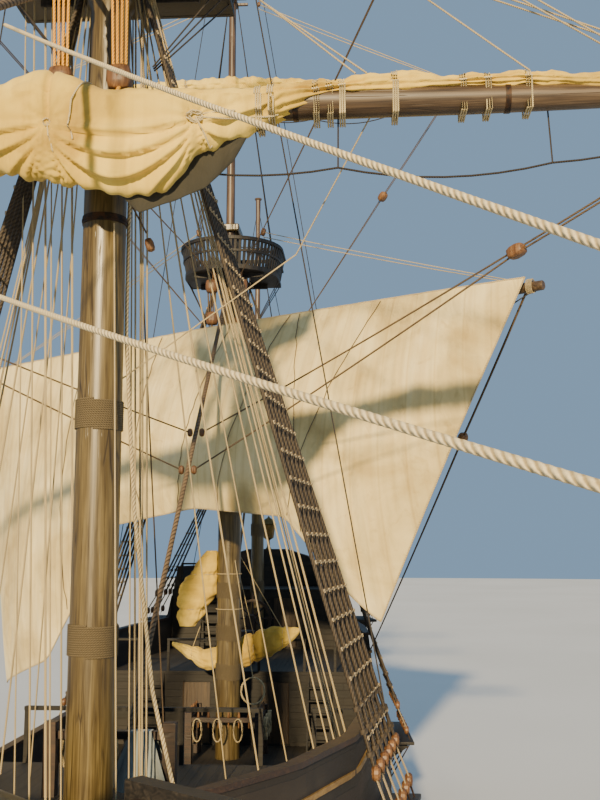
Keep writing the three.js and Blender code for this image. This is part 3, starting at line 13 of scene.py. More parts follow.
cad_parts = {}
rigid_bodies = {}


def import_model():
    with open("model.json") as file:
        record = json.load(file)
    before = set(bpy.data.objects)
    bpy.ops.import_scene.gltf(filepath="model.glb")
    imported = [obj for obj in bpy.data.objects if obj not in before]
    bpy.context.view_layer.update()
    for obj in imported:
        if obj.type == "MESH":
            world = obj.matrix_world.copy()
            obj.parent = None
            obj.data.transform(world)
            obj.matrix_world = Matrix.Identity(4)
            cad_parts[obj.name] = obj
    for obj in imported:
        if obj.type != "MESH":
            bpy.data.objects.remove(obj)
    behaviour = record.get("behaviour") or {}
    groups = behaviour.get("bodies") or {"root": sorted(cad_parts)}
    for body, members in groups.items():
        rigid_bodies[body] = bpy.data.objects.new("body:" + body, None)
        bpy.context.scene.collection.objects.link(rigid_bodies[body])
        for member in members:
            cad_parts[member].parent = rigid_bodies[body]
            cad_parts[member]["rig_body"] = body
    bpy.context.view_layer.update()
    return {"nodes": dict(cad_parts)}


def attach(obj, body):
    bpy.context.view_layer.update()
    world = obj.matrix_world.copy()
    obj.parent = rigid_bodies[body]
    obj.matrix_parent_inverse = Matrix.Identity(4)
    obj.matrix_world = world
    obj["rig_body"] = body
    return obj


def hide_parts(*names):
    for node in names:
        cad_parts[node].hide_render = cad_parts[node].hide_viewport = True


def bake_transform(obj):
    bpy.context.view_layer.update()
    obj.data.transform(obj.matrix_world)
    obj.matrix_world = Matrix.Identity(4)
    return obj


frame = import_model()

LOG = logging.getLogger("tall_ship")
Point = tuple[float, float, float]
Colour = tuple[float, float, float]
Piece, Material, Socket = bpy.types.Object, bpy.types.Material, bpy.types.NodeSocket
TURN = 2 * math.pi
WHITE, BLACK = (1.0, 1.0, 1.0), (0.0, 0.0, 0.0)
SIDES = ((1, "port"), (-1, "starboard"))
# Width of one cloth of a sail.
CLOTH = 0.61
# Distance between the rings of a twisted rope, in its radii.
STRAND_STEP = 1.1
# Share of a brace that is its pendant.
PENDANT = 0.32


class Grain(Enum):
    """Direction that a timber's grain runs, as the turn that brings it upright."""

    UPRIGHT = (0.0, 0.0, 0.0)
    ATHWART = (math.pi / 2, 0.0, 0.0)
    FORE_AND_AFT = (0.0, math.pi / 2, 0.0)
    MAIN_YARD = (math.pi / 2, 0.0, math.radians(34))
    BOWSPRIT = (0.0, math.radians(70), 0.0)


class Shader:
    """A node tree that ends in one Principled shader."""

    def __init__(self, name: str) -> None:
        """Makes an empty material.

        Args:
            name: the material's name.
        """
        self.material = bpy.data.materials.new(name)
        self.material.use_nodes = True
        self.tree = self.material.node_tree
        self.skin = next(n for n in self.tree.nodes if n.type == "BSDF_PRINCIPLED")

    def node(self, kind: str, inputs: dict[str | int, object] | None = None,
             **settings: object) -> bpy.types.Node:
        """Adds a node, sets its properties and feeds its inputs.

        Args:
            kind: the node's type name.
            inputs: a socket or a fixed value for each input, by name or place.
            settings: properties to set on it.

        Returns:
            The node.
        """
        made = self.tree.nodes.new(kind)
        for key, value in settings.items():
            setattr(made, key, value)
        for key, value in (inputs or {}).items():
            self.feed(value, made.inputs[key])
        return made

    def feed(self, value: Socket | Point | float, target: Socket) -> None:
        """Links a socket to an input, or gives the input a fixed value.

        Args:
            value: the socket, number, vector or colour.
            target: the input that takes it.
        """
        if isinstance(value, bpy.types.NodeSocket):
            self.tree.links.new(value, target)
        else:
            target.default_value = (*value, 1.0) if target.type == "RGBA" else value

    def place(self, turn: Point = (0.0, 0.0, 0.0), scale: Point = (1.0, 1.0, 1.0),
              uv: bool = False) -> Socket:
        """Coordinates of the piece, turned and scaled.

        Args:
            turn: Euler angles in radians.
            scale: factors along the turned axes.
            uv: True to read the piece's UV map in place of its own space.

        Returns:
            The vector socket.
        """
        coords = self.node("ShaderNodeTexCoord").outputs["UV" if uv else "Object"]
        upright = self.node("ShaderNodeMapping", {"Vector": coords, "Rotation": turn}).outputs["Vector"]
        return self.node("ShaderNodeMapping", {"Vector": upright, "Scale": scale}).outputs["Vector"]

    def noise(self, vector: Socket, scale: float, detail: float = 6.0, distortion: float = 0.0) -> Socket:
        """Noise over some coordinates.

        Args:
            vector: the coordinates.
            scale: how close its patches lie.
            detail: its octaves.
            distortion: how far it swirls.

        Returns:
            The noise, from 0 to 1.
        """
        made = self.node("ShaderNodeTexNoise",
                         {"Vector": vector, "Scale": scale, "Detail": detail, "Distortion": distortion})
        return made.outputs["Fac"]

    def ramp(self, value: Socket, stops: list[tuple[float, Colour]]) -> Socket:
        """A colour ramp over a value.

        Args:
            value: what it reads.
            stops: places from 0 to 1, with their colours.

        Returns:
            The colour.
        """
        made = self.node("ShaderNodeValToRGB", {"Fac": value})
        elements = made.color_ramp.elements
        while len(elements) < len(stops):
            elements.new(0.5)
        for element, (position, colour) in zip(elements, stops):
            element.position = position
            element.color = (*colour, 1.0)
        return made.outputs["Color"]

    def sum(self, kind: str, first: Socket | float, second: Socket | float = 0.0) -> Socket:
        """The outcome of one Math operation on one or two values."""
        return self.node("ShaderNodeMath", {0: first, 1: second}, operation=kind).outputs["Value"]

    def blend(self, kind: str, share: Socket | float, first: Socket, second: Socket | Colour) -> Socket:
        """Two colours mixed by a share of the second, by a blend type such as MIX or MULTIPLY."""
        inputs = {0: share, 6: first, 7: second}
        return self.node("ShaderNodeMix", inputs, data_type="RGBA", blend_type=kind).outputs[2]

    def finish(self, colour: Socket, rough: Socket | float,
               heights: list[tuple[Socket, float, float]]) -> Material:
        """Joins colour, roughness and bumps to the shader.

        Args:
            colour: the base colour.
            rough: the roughness.
            heights: rows of height, strength and depth in metres.

        Returns:
            The material.
        """
        self.feed(colour, self.skin.inputs["Base Color"])
        self.feed(rough, self.skin.inputs["Roughness"])
        normal = {}
        for height, strength, depth in heights:
            bump = self.node("ShaderNodeBump", {"Height": height, "Strength": strength, "Distance": depth,
                                                **normal})
            normal = {"Normal": bump.outputs["Normal"]}
        for key, socket in normal.items():
            self.feed(socket, self.skin.inputs[key])
        return self.material


@dataclass(frozen=True)
class Timber:
    """Varnished or tarred spar timber: long grain, stains and drying cracks."""

    name: str
    dark: Colour
    middle: Colour
    light: Colour
    grain: Grain = Grain.UPRIGHT
    rough: float = 0.45
    cracks: float = 0.5
    stain: Colour = (0.25, 0.2, 0.16)

    def material(self) -> Material:
        """Builds the node material.

        Returns:
            The material.
        """
        shader, grain = Shader(self.name), self.grain.value
        soft = shader.noise(shader.place(grain, (14.0, 14.0, 0.55)), 1.6, 8.0, 0.8)
        fine = shader.noise(shader.place(grain, (90.0, 90.0, 1.6)), 1.2, 4.0, 0.2)
        colour = shader.ramp(soft, [(0.28, self.dark), (0.5, self.middle), (0.74, self.light)])
        patches = shader.noise(shader.place(grain, (1.0, 1.0, 0.5)), 1.3, 5.0, 0.5)
        colour = shader.blend("MULTIPLY", 0.5, colour, shader.ramp(patches,
                                                                   [(0.36, self.stain), (0.6, WHITE)]))
        streaks = shader.ramp(fine, [(0.35, (0.72, 0.68, 0.62)), (0.62, WHITE)])
        colour = shader.blend("MULTIPLY", 0.55, colour, streaks)
        splits = shader.node("ShaderNodeTexVoronoi", {"Vector": shader.place(grain, (9.0, 9.0, 0.42)),
                                                      "Scale": 1.0},
                             feature="DISTANCE_TO_EDGE")
        narrow = shader.ramp(splits.outputs["Distance"], [(0.0, BLACK), (0.035, WHITE)])
        shown = shader.ramp(shader.noise(shader.place(grain, (2.0, 2.0, 0.7)), 1.4, 2.0),
                            [(0.5, BLACK), (0.56, WHITE)])
        crack = shader.sum("MULTIPLY", shader.sum("SUBTRACT", 1.0, narrow), shown)
        colour = shader.blend("MIX", shader.sum("MULTIPLY", crack, self.cracks), colour, (0.02, 0.013, 0.008))
        rough = shader.sum("ADD", shader.sum("MULTIPLY", soft, 0.3), self.rough - 0.15)
        return shader.finish(colour, rough, [(fine, 0.25, 0.004),
                                             (shader.sum("SUBTRACT", 1.0, crack), 0.5, 0.006)])


@dataclass(frozen=True)
class Planking:
    """Sawn planks with dark seams, in a row across the given axes."""

    name: str
    dark: Colour
    light: Colour
    turn: Point
    width: float = 0.24
    length: float = 5.5
    rough: float = 0.7
    wear: Colour = (0.4, 0.36, 0.3)

    def material(self) -> Material:
        """Builds the node material.

        Returns:
            The material.
        """
        shader = Shader(self.name)
        bricks = shader.node("ShaderNodeTexBrick", {
            "Vector": shader.place(self.turn), "Scale": 1.0, "Brick Width": self.length,
                                                    "Row Height": self.width,
            "Mortar Size": 0.006, "Mortar Smooth": 0.2, "Color1": self.dark, "Color2": self.light,
            "Mortar": (0.012, 0.009, 0.007)}, offset=0.37)
        grain = shader.noise(shader.place(self.turn, (0.7, 26.0, 26.0)), 1.5, 7.0, 0.5)
        tint = shader.ramp(grain, [(0.3, (0.55, 0.5, 0.45)), (0.65, WHITE)])
        colour = shader.blend("MULTIPLY", 0.7, bricks.outputs["Color"], tint)
        worn = shader.ramp(shader.noise(shader.place(self.turn), 0.8, 6.0, 0.4),
                           [(0.48, BLACK), (0.72, WHITE)])
        colour = shader.blend("MIX", shader.sum("MULTIPLY", worn, 0.3), colour, self.wear)
        rough = shader.sum("ADD", shader.sum("MULTIPLY", grain, 0.3), self.rough - 0.15)
        seams = shader.sum("SUBTRACT", 1.0, bricks.outputs["Fac"])
        return shader.finish(colour, rough, [(grain, 0.3, 0.005), (seams, 0.8, 0.008)])


@dataclass(frozen=True)
class LaidRope:
    """Three-strand rope, whose UV map runs one unit a turn of the strands and one round."""

    name: str
    groove: Colour
    crown: Colour
    rough: float = 0.85
    depth: float = 0.006

    def material(self) -> Material:
        """Builds the node material.

        Returns:
            The material.
        """
        shader = Shader(self.name)
        turns = shader.node("ShaderNodeSeparateXYZ",
                            {"Vector": shader.node("ShaderNodeTexCoord").outputs["UV"]})
        lay = shader.sum("ADD", turns.outputs["X"], turns.outputs["Y"])
        wave = shader.sum("SINE", shader.sum("MULTIPLY", lay, 3 * TURN))
        height = shader.sum("ADD", shader.sum("MULTIPLY", wave, 0.5), 0.5)
        fibres = shader.noise(shader.place(scale=(7.0, 7.0, 7.0)), 9.0, 5.0)
        # The grooves between the strands are painted darker and the crowns lighter: painted shade and painted
        # highlight.
        colour = shader.ramp(height, [(0.05, self.groove), (0.55, self.crown)])
        tint = shader.ramp(fibres, [(0.3, (0.6, 0.57, 0.52)), (0.65, WHITE)])
        colour = shader.blend("MULTIPLY", 0.6, colour, tint)
        return shader.finish(colour, self.rough, [(height, 0.9, self.depth), (fibres, 0.3, 0.002)])


@dataclass(frozen=True)
class Canvas:
    """Flax canvas in sewn cloths; its UV map is in metres, across the sail and down it."""

    name: str
    shade: Colour
    body: Colour
    bright: Colour
    cloth: float = CLOTH
    seam: float = 0.03
    shown: float = 0.5

    def material(self) -> Material:
        """Builds the node material.

        Returns:
            The material.
        """
        shader = Shader(self.name)
        metres = shader.node("ShaderNodeSeparateXYZ",
                             {"Vector": shader.node("ShaderNodeTexCoord").outputs["UV"]})
        across = shader.sum("FRACT", shader.sum("DIVIDE", metres.outputs["X"], self.cloth))
        distance = shader.sum("ABSOLUTE", shader.sum("SUBTRACT", across, 0.5))
        seam = shader.ramp(distance, [(0.5 - self.seam / self.cloth, BLACK), (0.492, WHITE)])
        large = shader.noise(shader.place(), 0.55, 6.0, 0.5)
        colour = shader.ramp(large, [(0.3, self.shade), (0.5, self.body), (0.72, self.bright)])
        streaks = shader.noise(shader.place(scale=(3.2, 0.24, 1.0), uv=True), 1.3, 6.0, 0.4)
        stain = shader.ramp(streaks, [(0.34, (0.7, 0.62, 0.5)), (0.56, WHITE)])
        colour = shader.blend("MULTIPLY", 0.45, colour, stain)
        spots = shader.noise(shader.place(), 3.2, 7.0, 0.9)
        colour = shader.blend("MULTIPLY", 0.5, colour, shader.ramp(spots, [(0.6, WHITE),
                                                                           (0.76, (0.62, 0.55, 0.44))]))
        colour = shader.blend("MULTIPLY", shader.sum("MULTIPLY", seam, self.shown), colour, (0.6, 0.52, 0.38))
        weave = shader.noise(shader.place(scale=(70.0, 70.0, 1.0), uv=True), 1.6, 3.0)
        creases = shader.noise(shader.place(scale=(1.5, 0.7, 1.0), uv=True), 1.8, 8.0, 1.4)
        rough = shader.sum("ADD", shader.sum("MULTIPLY", large, 0.15), 0.78)
        shader.skin.inputs["Sheen Weight"].default_value = 0.15
        return shader.finish(colour, rough, [(creases, 0.6, 0.06), (weave, 0.25, 0.002),
                                             (seam, self.shown, 0.006)])


@dataclass(frozen=True)
class Metal:
    """Forged iron or cast brass with rust or tarnish in patches."""

    name: str
    clean: Colour
    dull: Colour
    metallic: float
    rough: float

    def material(self) -> Material:
        """Builds the node material.

        Returns:
            The material.
        """
        shader = Shader(self.name)
        patches = shader.noise(shader.place(), 14.0, 8.0, 0.6)
        colour = shader.ramp(patches, [(0.35, self.clean), (0.65, self.dull)])
        rough = shader.sum("ADD", shader.sum("MULTIPLY", patches, 0.3), self.rough)
        shader.skin.inputs["Metallic"].default_value = self.metallic
        return shader.finish(colour, rough, [(patches, 0.4, 0.003)])


@dataclass(frozen=True)
class Pane:
    """Old window glass or a lantern's horn panes."""

    name: str
    colour: Colour

    def material(self) -> Material:
        """Builds the node material.

        Returns:
            The material.
        """
        shader = Shader(self.name)
        ripple = shader.noise(shader.place(), 6.0, 2.0)
        colour = shader.ramp(ripple, [(0.3, self.colour), (0.7, tuple(c * 1.5 for c in self.colour))])
        shader.skin.inputs["Specular IOR Level"].default_value = 0.8
        return shader.finish(colour, 0.08, [(ripple, 0.15, 0.004)])


@dataclass(frozen=True)
class PlainFloor:
    """The pale matt floor of the studio."""

    name: str
    low: Colour
    high: Colour

    def material(self) -> Material:
        """Builds the node material.

        Returns:
            The material.
        """
        shader = Shader(self.name)
        haze = shader.noise(shader.place(), 0.05, 3.0)
        return shader.finish(shader.ramp(haze, [(0.3, self.low), (0.7, self.high)]), 0.9, [])


PINE = dict(dark=(0.055, 0.037, 0.014), middle=(0.13, 0.095, 0.036), light=(0.23, 0.175, 0.07))
# Yard timber: dark brown, partly its own colour and partly painted shade.
DARK_PINE = dict(dark=(0.035, 0.021, 0.011), middle=(0.085, 0.055, 0.03), light=(0.17, 0.115, 0.065))
TAR = dict(dark=(0.007, 0.006, 0.005), middle=(0.019, 0.016, 0.013), light=(0.045, 0.035, 0.026))
# Red paint, darkened nearly to black as painted shade.
RED = dict(dark=(0.018, 0.009, 0.005), middle=(0.036, 0.018, 0.01), light=(0.075, 0.04, 0.022))
FINISHES: dict[str, object] = {finish.name: finish for finish in [
    Timber("mast_varnish", **PINE, rough=0.34, cracks=0.8),
    Timber("yard_varnish", **DARK_PINE, grain=Grain.ATHWART),
    Timber("main_yard_varnish", **DARK_PINE, grain=Grain.MAIN_YARD),
    Timber("topmast_varnish", (0.05, 0.03, 0.018), (0.1, 0.064, 0.04), (0.18, 0.12, 0.08), rough=0.42),
    Timber("bowsprit_varnish", **PINE, grain=Grain.BOWSPRIT, rough=0.4),
    Timber("tarred_upright", **TAR, rough=0.6),
    Timber("tarred_athwart", **TAR, grain=Grain.ATHWART, rough=0.6),
    Timber("tarred_long", **TAR, grain=Grain.FORE_AND_AFT, rough=0.6),
    Timber("red_upright", **RED, rough=0.55),
    Timber("red_athwart", **RED, grain=Grain.ATHWART, rough=0.55),
    Timber("ochre_trim", (0.2, 0.11, 0.028), (0.32, 0.19, 0.05), (0.42, 0.27, 0.085), Grain.FORE_AND_AFT, 0.5,
           0.2),
    Timber("block_ash", (0.085, 0.036, 0.014), (0.18, 0.085, 0.032), (0.3, 0.16, 0.065), rough=0.5,
           cracks=0.2),
    # Ochre door paint, darkened as painted shade.
    Timber("ochre_door", (0.028, 0.016, 0.007), (0.055, 0.032, 0.014), (0.09, 0.058, 0.026), rough=0.5,
           cracks=0.3),
    # Hull, deck and bulkhead planks: dark timber, painted darker still as painted shade.
    Planking("hull_planks", (0.016, 0.012, 0.008), (0.031, 0.022, 0.015), (-math.pi / 2, 0.0, 0.0),
             wear=(0.085, 0.064, 0.045)),
    Planking("deck_planks", (0.019, 0.015, 0.01), (0.033, 0.026, 0.017), (0.0, 0.0, 0.0), 0.14, 5.0,
             wear=(0.075, 0.06, 0.042)),
    Planking("gallery_planks", (0.1, 0.035, 0.018), (0.16, 0.062, 0.028), (-math.pi / 2, 0.0, -math.pi / 2),
             wear=(0.22, 0.12, 0.07)),
    Planking("bulkhead_planks", (0.006, 0.005, 0.003), (0.013, 0.01, 0.007), (-math.pi / 2, math.pi / 2, 0.0),
             0.2, 2.2, wear=(0.026, 0.02, 0.014)),
    LaidRope("tarred_rope", (0.008, 0.006, 0.005), (0.06, 0.045, 0.032), 0.6),
    LaidRope("shroud_rope", (0.03, 0.022, 0.014), (0.07, 0.052, 0.034), 0.7),
    LaidRope("brown_rope", (0.05, 0.032, 0.018), (0.19, 0.13, 0.075)),
    LaidRope("gasket_rope", (0.42, 0.33, 0.15), (0.74, 0.63, 0.38)),
    LaidRope("woolding_rope", (0.06, 0.045, 0.022), (0.17, 0.13, 0.07)),
    LaidRope("ratline_rope", (0.2, 0.15, 0.08), (0.5, 0.4, 0.25)),
    LaidRope("manila_rope", (0.27, 0.2, 0.1), (0.66, 0.54, 0.31)),
    LaidRope("hawser_rope", (0.46, 0.36, 0.19), (0.84, 0.71, 0.44), 0.8, 0.006),
    LaidRope("yellow_rope", (0.5, 0.2, 0.01), (0.88, 0.45, 0.035), 0.6),
    Canvas("sail_canvas", (0.48, 0.36, 0.14), (0.74, 0.6, 0.28), (0.85, 0.72, 0.4), shown=0.3),
    Canvas("furled_canvas", (0.36, 0.22, 0.03), (0.68, 0.47, 0.07), (0.82, 0.61, 0.13), shown=0.12),
    # Near-black canvas: painted shade for the layer that hangs behind the bunt.
    Canvas("shaded_canvas", (0.013, 0.012, 0.008), (0.025, 0.023, 0.015), (0.042, 0.038, 0.025), shown=0.12),
    Canvas("tarpaulin", (0.14, 0.17, 0.175), (0.22, 0.26, 0.27), (0.3, 0.345, 0.355), 1.2),
    Metal("forged_iron", (0.018, 0.017, 0.016), (0.07, 0.035, 0.018), 0.7, 0.4),
    Metal("cast_brass", (0.2, 0.13, 0.045), (0.1, 0.07, 0.03), 1.0, 0.35),
    Pane("window_glass", (0.03, 0.045, 0.05)),
    Pane("lantern_glass", (0.5, 0.32, 0.1)),
    PlainFloor("pale_floor", (0.68, 0.68, 0.66), (0.74, 0.74, 0.73)),
]}


@functools.cache
def finish_named(name: str) -> Material:
    """The material of a finish by its name in FINISHES, built the first time that it is asked for."""
    return FINISHES[name].material()


def deselect() -> None:
    """Leaves edit mode and deselects everything."""
    if bpy.context.mode != "OBJECT":
        bpy.ops.object.mode_set(mode="OBJECT")
    bpy.ops.object.select_all(action="DESELECT")


def hold(piece: Piece) -> None:
    """Makes one piece the only selected and active one.

    Args:
        piece: the object.
    """
    deselect()
    piece.select_set(True)
    bpy.context.view_layer.objects.active = piece


def edit(piece: Piece | None = None) -> None:
    """Opens a mesh for editing, with all of it selected.

    Args:
        piece: the object, if it isn't the active one.
    """
    if piece:
        hold(piece)
    bpy.ops.object.mode_set(mode="EDIT")
    bpy.ops.mesh.select_all(action="SELECT")


def outwards() -> None:
    """Turns all faces of the mesh being edited outwards."""
    bpy.ops.mesh.select_all(action="SELECT")
    bpy.ops.mesh.normals_make_consistent(inside=False)


def added(name: str, data: bpy.types.ID) -> Piece:
    """A new object in the scene.

    Args:
        name: its name.
        data: its mesh, camera or light.

    Returns:
        The object.
    """
    made = bpy.data.objects.new(name, data)
    bpy.context.scene.collection.objects.link(made)
    return made


def settle(piece: Piece, place: Matrix | None = None) -> Piece:
    """Moves a piece into place and writes the place into its mesh.

    Args:
        piece: the object.
        place: where its own space lies in the ship's frame, if not where it stands already.

    Returns:
        The object, at the origin.
    """
    hold(piece)
    if place is not None:
        piece.matrix_world = place @ piece.matrix_world
    bpy.ops.object.transform_apply(location=True, rotation=True, scale=True)
    return piece


def dress(piece: Piece, name: str, finish: str, body: str,
          replaces: tuple[str, ...] = (), smooth: float = 35.0) -> Piece:
    """Names a finished piece, gives it its finish and lets it ride.

    Args:
        piece: the object, in place.
        name: its name.
        finish: a name in FINISHES.
        body: the body that carries it.
        replaces: the nodes that it stands for.
        smooth: edges sharper than this many degrees stay sharp.

    Returns:
        The object.
    """
    piece.name = name
    piece.data.name = name
    piece.data.materials.clear()
    piece.data.materials.append(finish_named(finish))
    hold(piece)
    bpy.ops.object.shade_smooth_by_angle(angle=math.radians(smooth))
    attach(piece, body)
    if replaces:
        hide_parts(*replaces)
    LOG.info("%s: %d faces", name, len(piece.data.polygons))
    return piece


def along(start: Point, end: Point) -> Matrix:
    """The place whose +Z runs from one point towards another, its origin at the first."""
    return aimed(start, Vector(end) - Vector(start))


def aimed(centre: Point, way: Point) -> Matrix:
    """The place at a point whose +Z runs along a direction."""
    return Matrix.Translation(centre) @ Vector(way).to_track_quat("Z", "Y").to_matrix().to_4x4()


def turned(rings: list[tuple[float, float]], sides: int = 32, place: Matrix | None = None) -> Piece:
    """A spar shaped from a disc by extruding and scaling, ring by ring.

    Args:
        rings: heights and radii from the foot up.
        sides: edges round it.
        place: where its axis lies, if not on the ship's own vertical.

    Returns:
        The object, in place.
    """
    deselect()
    bpy.ops.mesh.primitive_circle_add(vertices=sides, radius=rings[0][1], fill_type="NGON",
                                      location=(0, 0, rings[0][0]))
    edit()
    for (low, near), (high, far) in zip(rings, rings[1:]):
        bpy.ops.mesh.extrude_region_move(TRANSFORM_OT_translate={"value": (0, 0, high - low)})
        bpy.ops.transform.resize(value=(far / near, far / near, 1), center_override=(0, 0, high))
    outwards()
    return settle(bpy.context.object, place)


def ring(inner: float, outer: float, low: float, high: float, sides: int = 32,
         place: Matrix | None = None) -> Piece:
    """A flat hoop: a disc whose two faces are inset and bridged.

    Args:
        inner: radius of the hole.
        outer: radius of the rim.
        low: height of its lower face.
        high: height of its upper face.
        sides: edges round it.
        place: where its axis lies, if not on the ship's own vertical.

    Returns:
        The object, in place.
    """
    deselect()
    bpy.ops.mesh.primitive_cylinder_add(vertices=sides, radius=outer, depth=high - low,
                                        location=(0, 0, (low + high) / 2))
    piece = bpy.context.object
    edit()
    bpy.ops.mesh.select_mode(type="FACE")
    bpy.ops.mesh.select_all(action="DESELECT")
    bpy.ops.object.mode_set(mode="OBJECT")
    for face in piece.data.polygons:
        face.select = abs(face.normal.z) > 0.9
    bpy.ops.object.mode_set(mode="EDIT")
    bpy.ops.mesh.inset(thickness=outer - inner)
    bpy.ops.mesh.bridge_edge_loops()
    outwards()
    return settle(piece, place)


def plank(low: Point, high: Point, bevel: float = 0.008, place: Matrix | None = None) -> Piece:
    """A squared timber between two corners, with eased edges.

    Args:
        low: its lowest corner.
        high: its highest corner.
        bevel: how far its edges are eased.
        place: where its own space lies, if not in the ship's frame.

    Returns:
        The object, in place.
    """
    deselect()
    size = [b - a for a, b in zip(low, high)]
    bpy.ops.mesh.primitive_cube_add(size=1, location=[(a + b) / 2 for a, b in zip(low, high)])
    piece = bpy.context.object
    piece.scale = size
    bpy.ops.object.transform_apply(location=False, rotation=False, scale=True)
    edit()
    bpy.ops.mesh.bevel(offset=min(bevel, 0.3 * min(size)), segments=1)
    return settle(piece, place)


def copies(model: Piece, places: list[Matrix]) -> Piece:
    """Copies of a modelled piece, joined into one object. The model itself goes.

    Args:
        model: the piece, at the origin.
        places: where each copy goes.

    Returns:
        The joined object.
    """
    made = []
    for place in places:
        twin = model.copy()
        twin.data = model.data.copy()
        bpy.context.scene.collection.objects.link(twin)
        twin.matrix_world = place
        made.append(twin)
    bpy.data.objects.remove(model)
    return joined(made)


def joined(pieces: list[Piece]) -> Piece:
    """Joins pieces into one.

    Args:
        pieces: the objects.

    Returns:
        The object, with its place in its mesh.
    """
    deselect()
    for piece in pieces:
        piece.select_set(True)
    bpy.context.view_layer.objects.active = pieces[0]
    if len(pieces) > 1:
        bpy.ops.object.join()
    return settle(bpy.context.view_layer.objects.active)


def smooth_copy(node: str) -> Piece:
    """A merged copy of a node's mesh, so that its curved faces can shade smooth.

    Args:
        node: the node's name.

    Returns:
        The copy.
    """
    twin = added(f"{node}_skin", frame["nodes"][node].data.copy())
    hold(twin)
    if twin.data.has_custom_normals:
        bpy.ops.mesh.customdata_custom_splitnormals_clear()
    edit()
    bpy.ops.mesh.remove_doubles(threshold=0.00005)
    return settle(twin)


@dataclass
class Line:
    """One run of rope through some points."""

    points: list[Point] | np.ndarray
    radius: float
    sag: float = 0.0
    steps: int = 1

    def path(self) -> np.ndarray:
        """The points that the rope's middle follows, with its sag.

        Returns:
            The points.
        """
        points = np.array(self.points, float)
        if self.steps == 1:
            return points
        legs = [points[:1]]
        for a, b in zip(points, points[1:]):
            share = np.linspace(0, 1, self.steps + 1)[1:, None]
            leg = a + (b - a) * share
            leg[:, 2] -= self.sag * np.linalg.norm(b - a) * 4 * (share * (1 - share))[:, 0]
            legs.append(leg)
        return np.concatenate(legs)


def mapped_mesh(name: str, points: np.ndarray, faces: list[list[int]], corners: np.ndarray) -> Piece:
    """A mesh with a UV map and its faces turned outwards.

    Args:
        name: its name.
        points: its vertices.
        faces: its faces.
        corners: the UV map, one row for each corner of the faces.

    Returns:
        The object.
    """
    mesh = bpy.data.meshes.new(name)
    mesh.from_pydata(points.tolist(), [], faces)
    mesh.uv_layers.new(name="UVMap").data.foreach_set("uv", np.asarray(corners, np.float32).ravel())
    piece = added(name, mesh)
    edit(piece)
    outwards()
    deselect()
    return piece


def rope(name: str, lines: list[Line], finish: str, body: str = "ship", sides: int = 6,
         replaces: tuple[str, ...] = (), twist: bool = False) -> Piece:
    """Makes runs of rope as one piece, with the lay of the strands in its UV map.

    Args:
        name: the piece's name.
        lines: the runs.
        finish: a name in FINISHES.
        body: the body that carries it.
        sides: edges round the rope.
        replaces: the nodes that it stands for.
        twist: True to give the three strands real relief.

    Returns:
        The object.
    """
    places, faces, uvs, start = [], [], [], 0
    for line in lines:
        path = line.path()
        if twist:
            path = evenly(path, line.radius * STRAND_STEP)
        steps = np.linalg.norm(np.diff(path, axis=0), axis=1)
        lengths = np.concatenate([[0], np.cumsum(steps)]) / (line.radius * 7)
        ways = np.gradient(path, axis=0)
        ways /= np.linalg.norm(ways, axis=1)[:, None]
        ref = np.array([0.0, 0.0, 1.0]) if abs(ways[0, 2]) < 0.9 else np.array([1.0, 0.0, 0.0])
        side = np.cross(ways, ref)
        side /= np.linalg.norm(side, axis=1)[:, None]
        over = np.cross(side, ways)
        angle = np.arange(sides) * TURN / sides
        radius = np.full((len(path), sides), line.radius)
        if twist:
            lay = 3 * (angle[None, :] + lengths[:, None] * TURN)
            radius *= 0.9 + 0.13 * np.abs(np.cos(lay / 2))
        rim = path[:, None, :] + radius[..., None] * (
            side[:, None, :] * np.cos(angle)[None, :, None] + over[:, None, :] * np.sin(angle)[None, :, None])
        places.append(rim.reshape(-1, 3))
        last = start + (len(path) - 1) * sides
        for i, a in enumerate(range(start, last, sides)):
            for j in range(sides):
                k = (j + 1) % sides
                faces.append((a + j, a + k, a + sides + k, a + sides + j))
                v0, v1 = j / sides, (j + 1) / sides
                uvs += [(lengths[i], v0), (lengths[i], v1), (lengths[i + 1], v1), (lengths[i + 1], v0)]
        faces += [tuple(start + j for j in reversed(range(sides))), tuple(last + j for j in range(sides))]
        uvs += [(0.0, 0.0)] * (2 * sides)
        start = last + sides
    piece = mapped_mesh(name, np.concatenate(places), faces, uvs)
    return dress(piece, name, finish, body, replaces, 60.0)


def evenly(path: np.ndarray, step: float) -> np.ndarray:
    """Points evenly spaced along a path.

    Args:
        path: the path's own points, at least two steps long.
        step: the distance between the new ones.

    Returns:
        The new points.
    """
    lengths = np.concatenate([[0], np.cumsum(np.linalg.norm(np.diff(path, axis=0), axis=1))])
    at = np.linspace(0, lengths[-1], max(2, int(lengths[-1] / step)) + 1)
    return np.stack([np.interp(at, lengths, path[:, k]) for k in range(3)], axis=1)


def hang(piece: Piece, body: str, start: Point, end: Point) -> None:
    """Takes a piece off its body and writes its place into its mesh.

    Args:
        piece: the object.
        body: the spar's body; not used.
        start: the place at the ship's end; not used.
        end: the place at the spar's end; not used.
    """
    piece.parent = None
    del piece["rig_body"]
    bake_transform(piece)


def lead(name: str, line: Line, finish: str, body: str, sides: int = 6, twist: bool = False) -> None:
    """A rope from the ship to a swinging spar, left on no body with its place written into its mesh.

    Args:
        name: the piece's name.
        line: its run, from the ship's end to the spar's end.
        finish: a name in FINISHES.
        body: the spar's body.
        sides: edges round the rope.
        twist: True to give the three strands real relief.
    """
    if not twist:
        line.steps = max(line.steps, 12)
    hang(rope(name, [line], finish, "ship", sides, twist=twist), body, line.points[0], line.points[-1])


@dataclass(frozen=True)
class MastPlan:
    """Sizes of one mast, its top and its shrouds, as its solids have them."""

    name: str
    x: float
    deck: float
    hounds: float
    cap: float
    foot: float
    neck: float
    head: float
    floor: float
    rim: float
    topmast: float
    crosstrees: float
    truck: float
    tip: float
    shrouds: int
    channel: float
    out: float
    spread: float
    stay: float

    def radius(self, z: float) -> float:
        """Radius of the lower mast at a height."""
        return self.foot + (self.neck - self.foot) * (z - self.deck) / (self.hounds - 0.5 - self.deck)


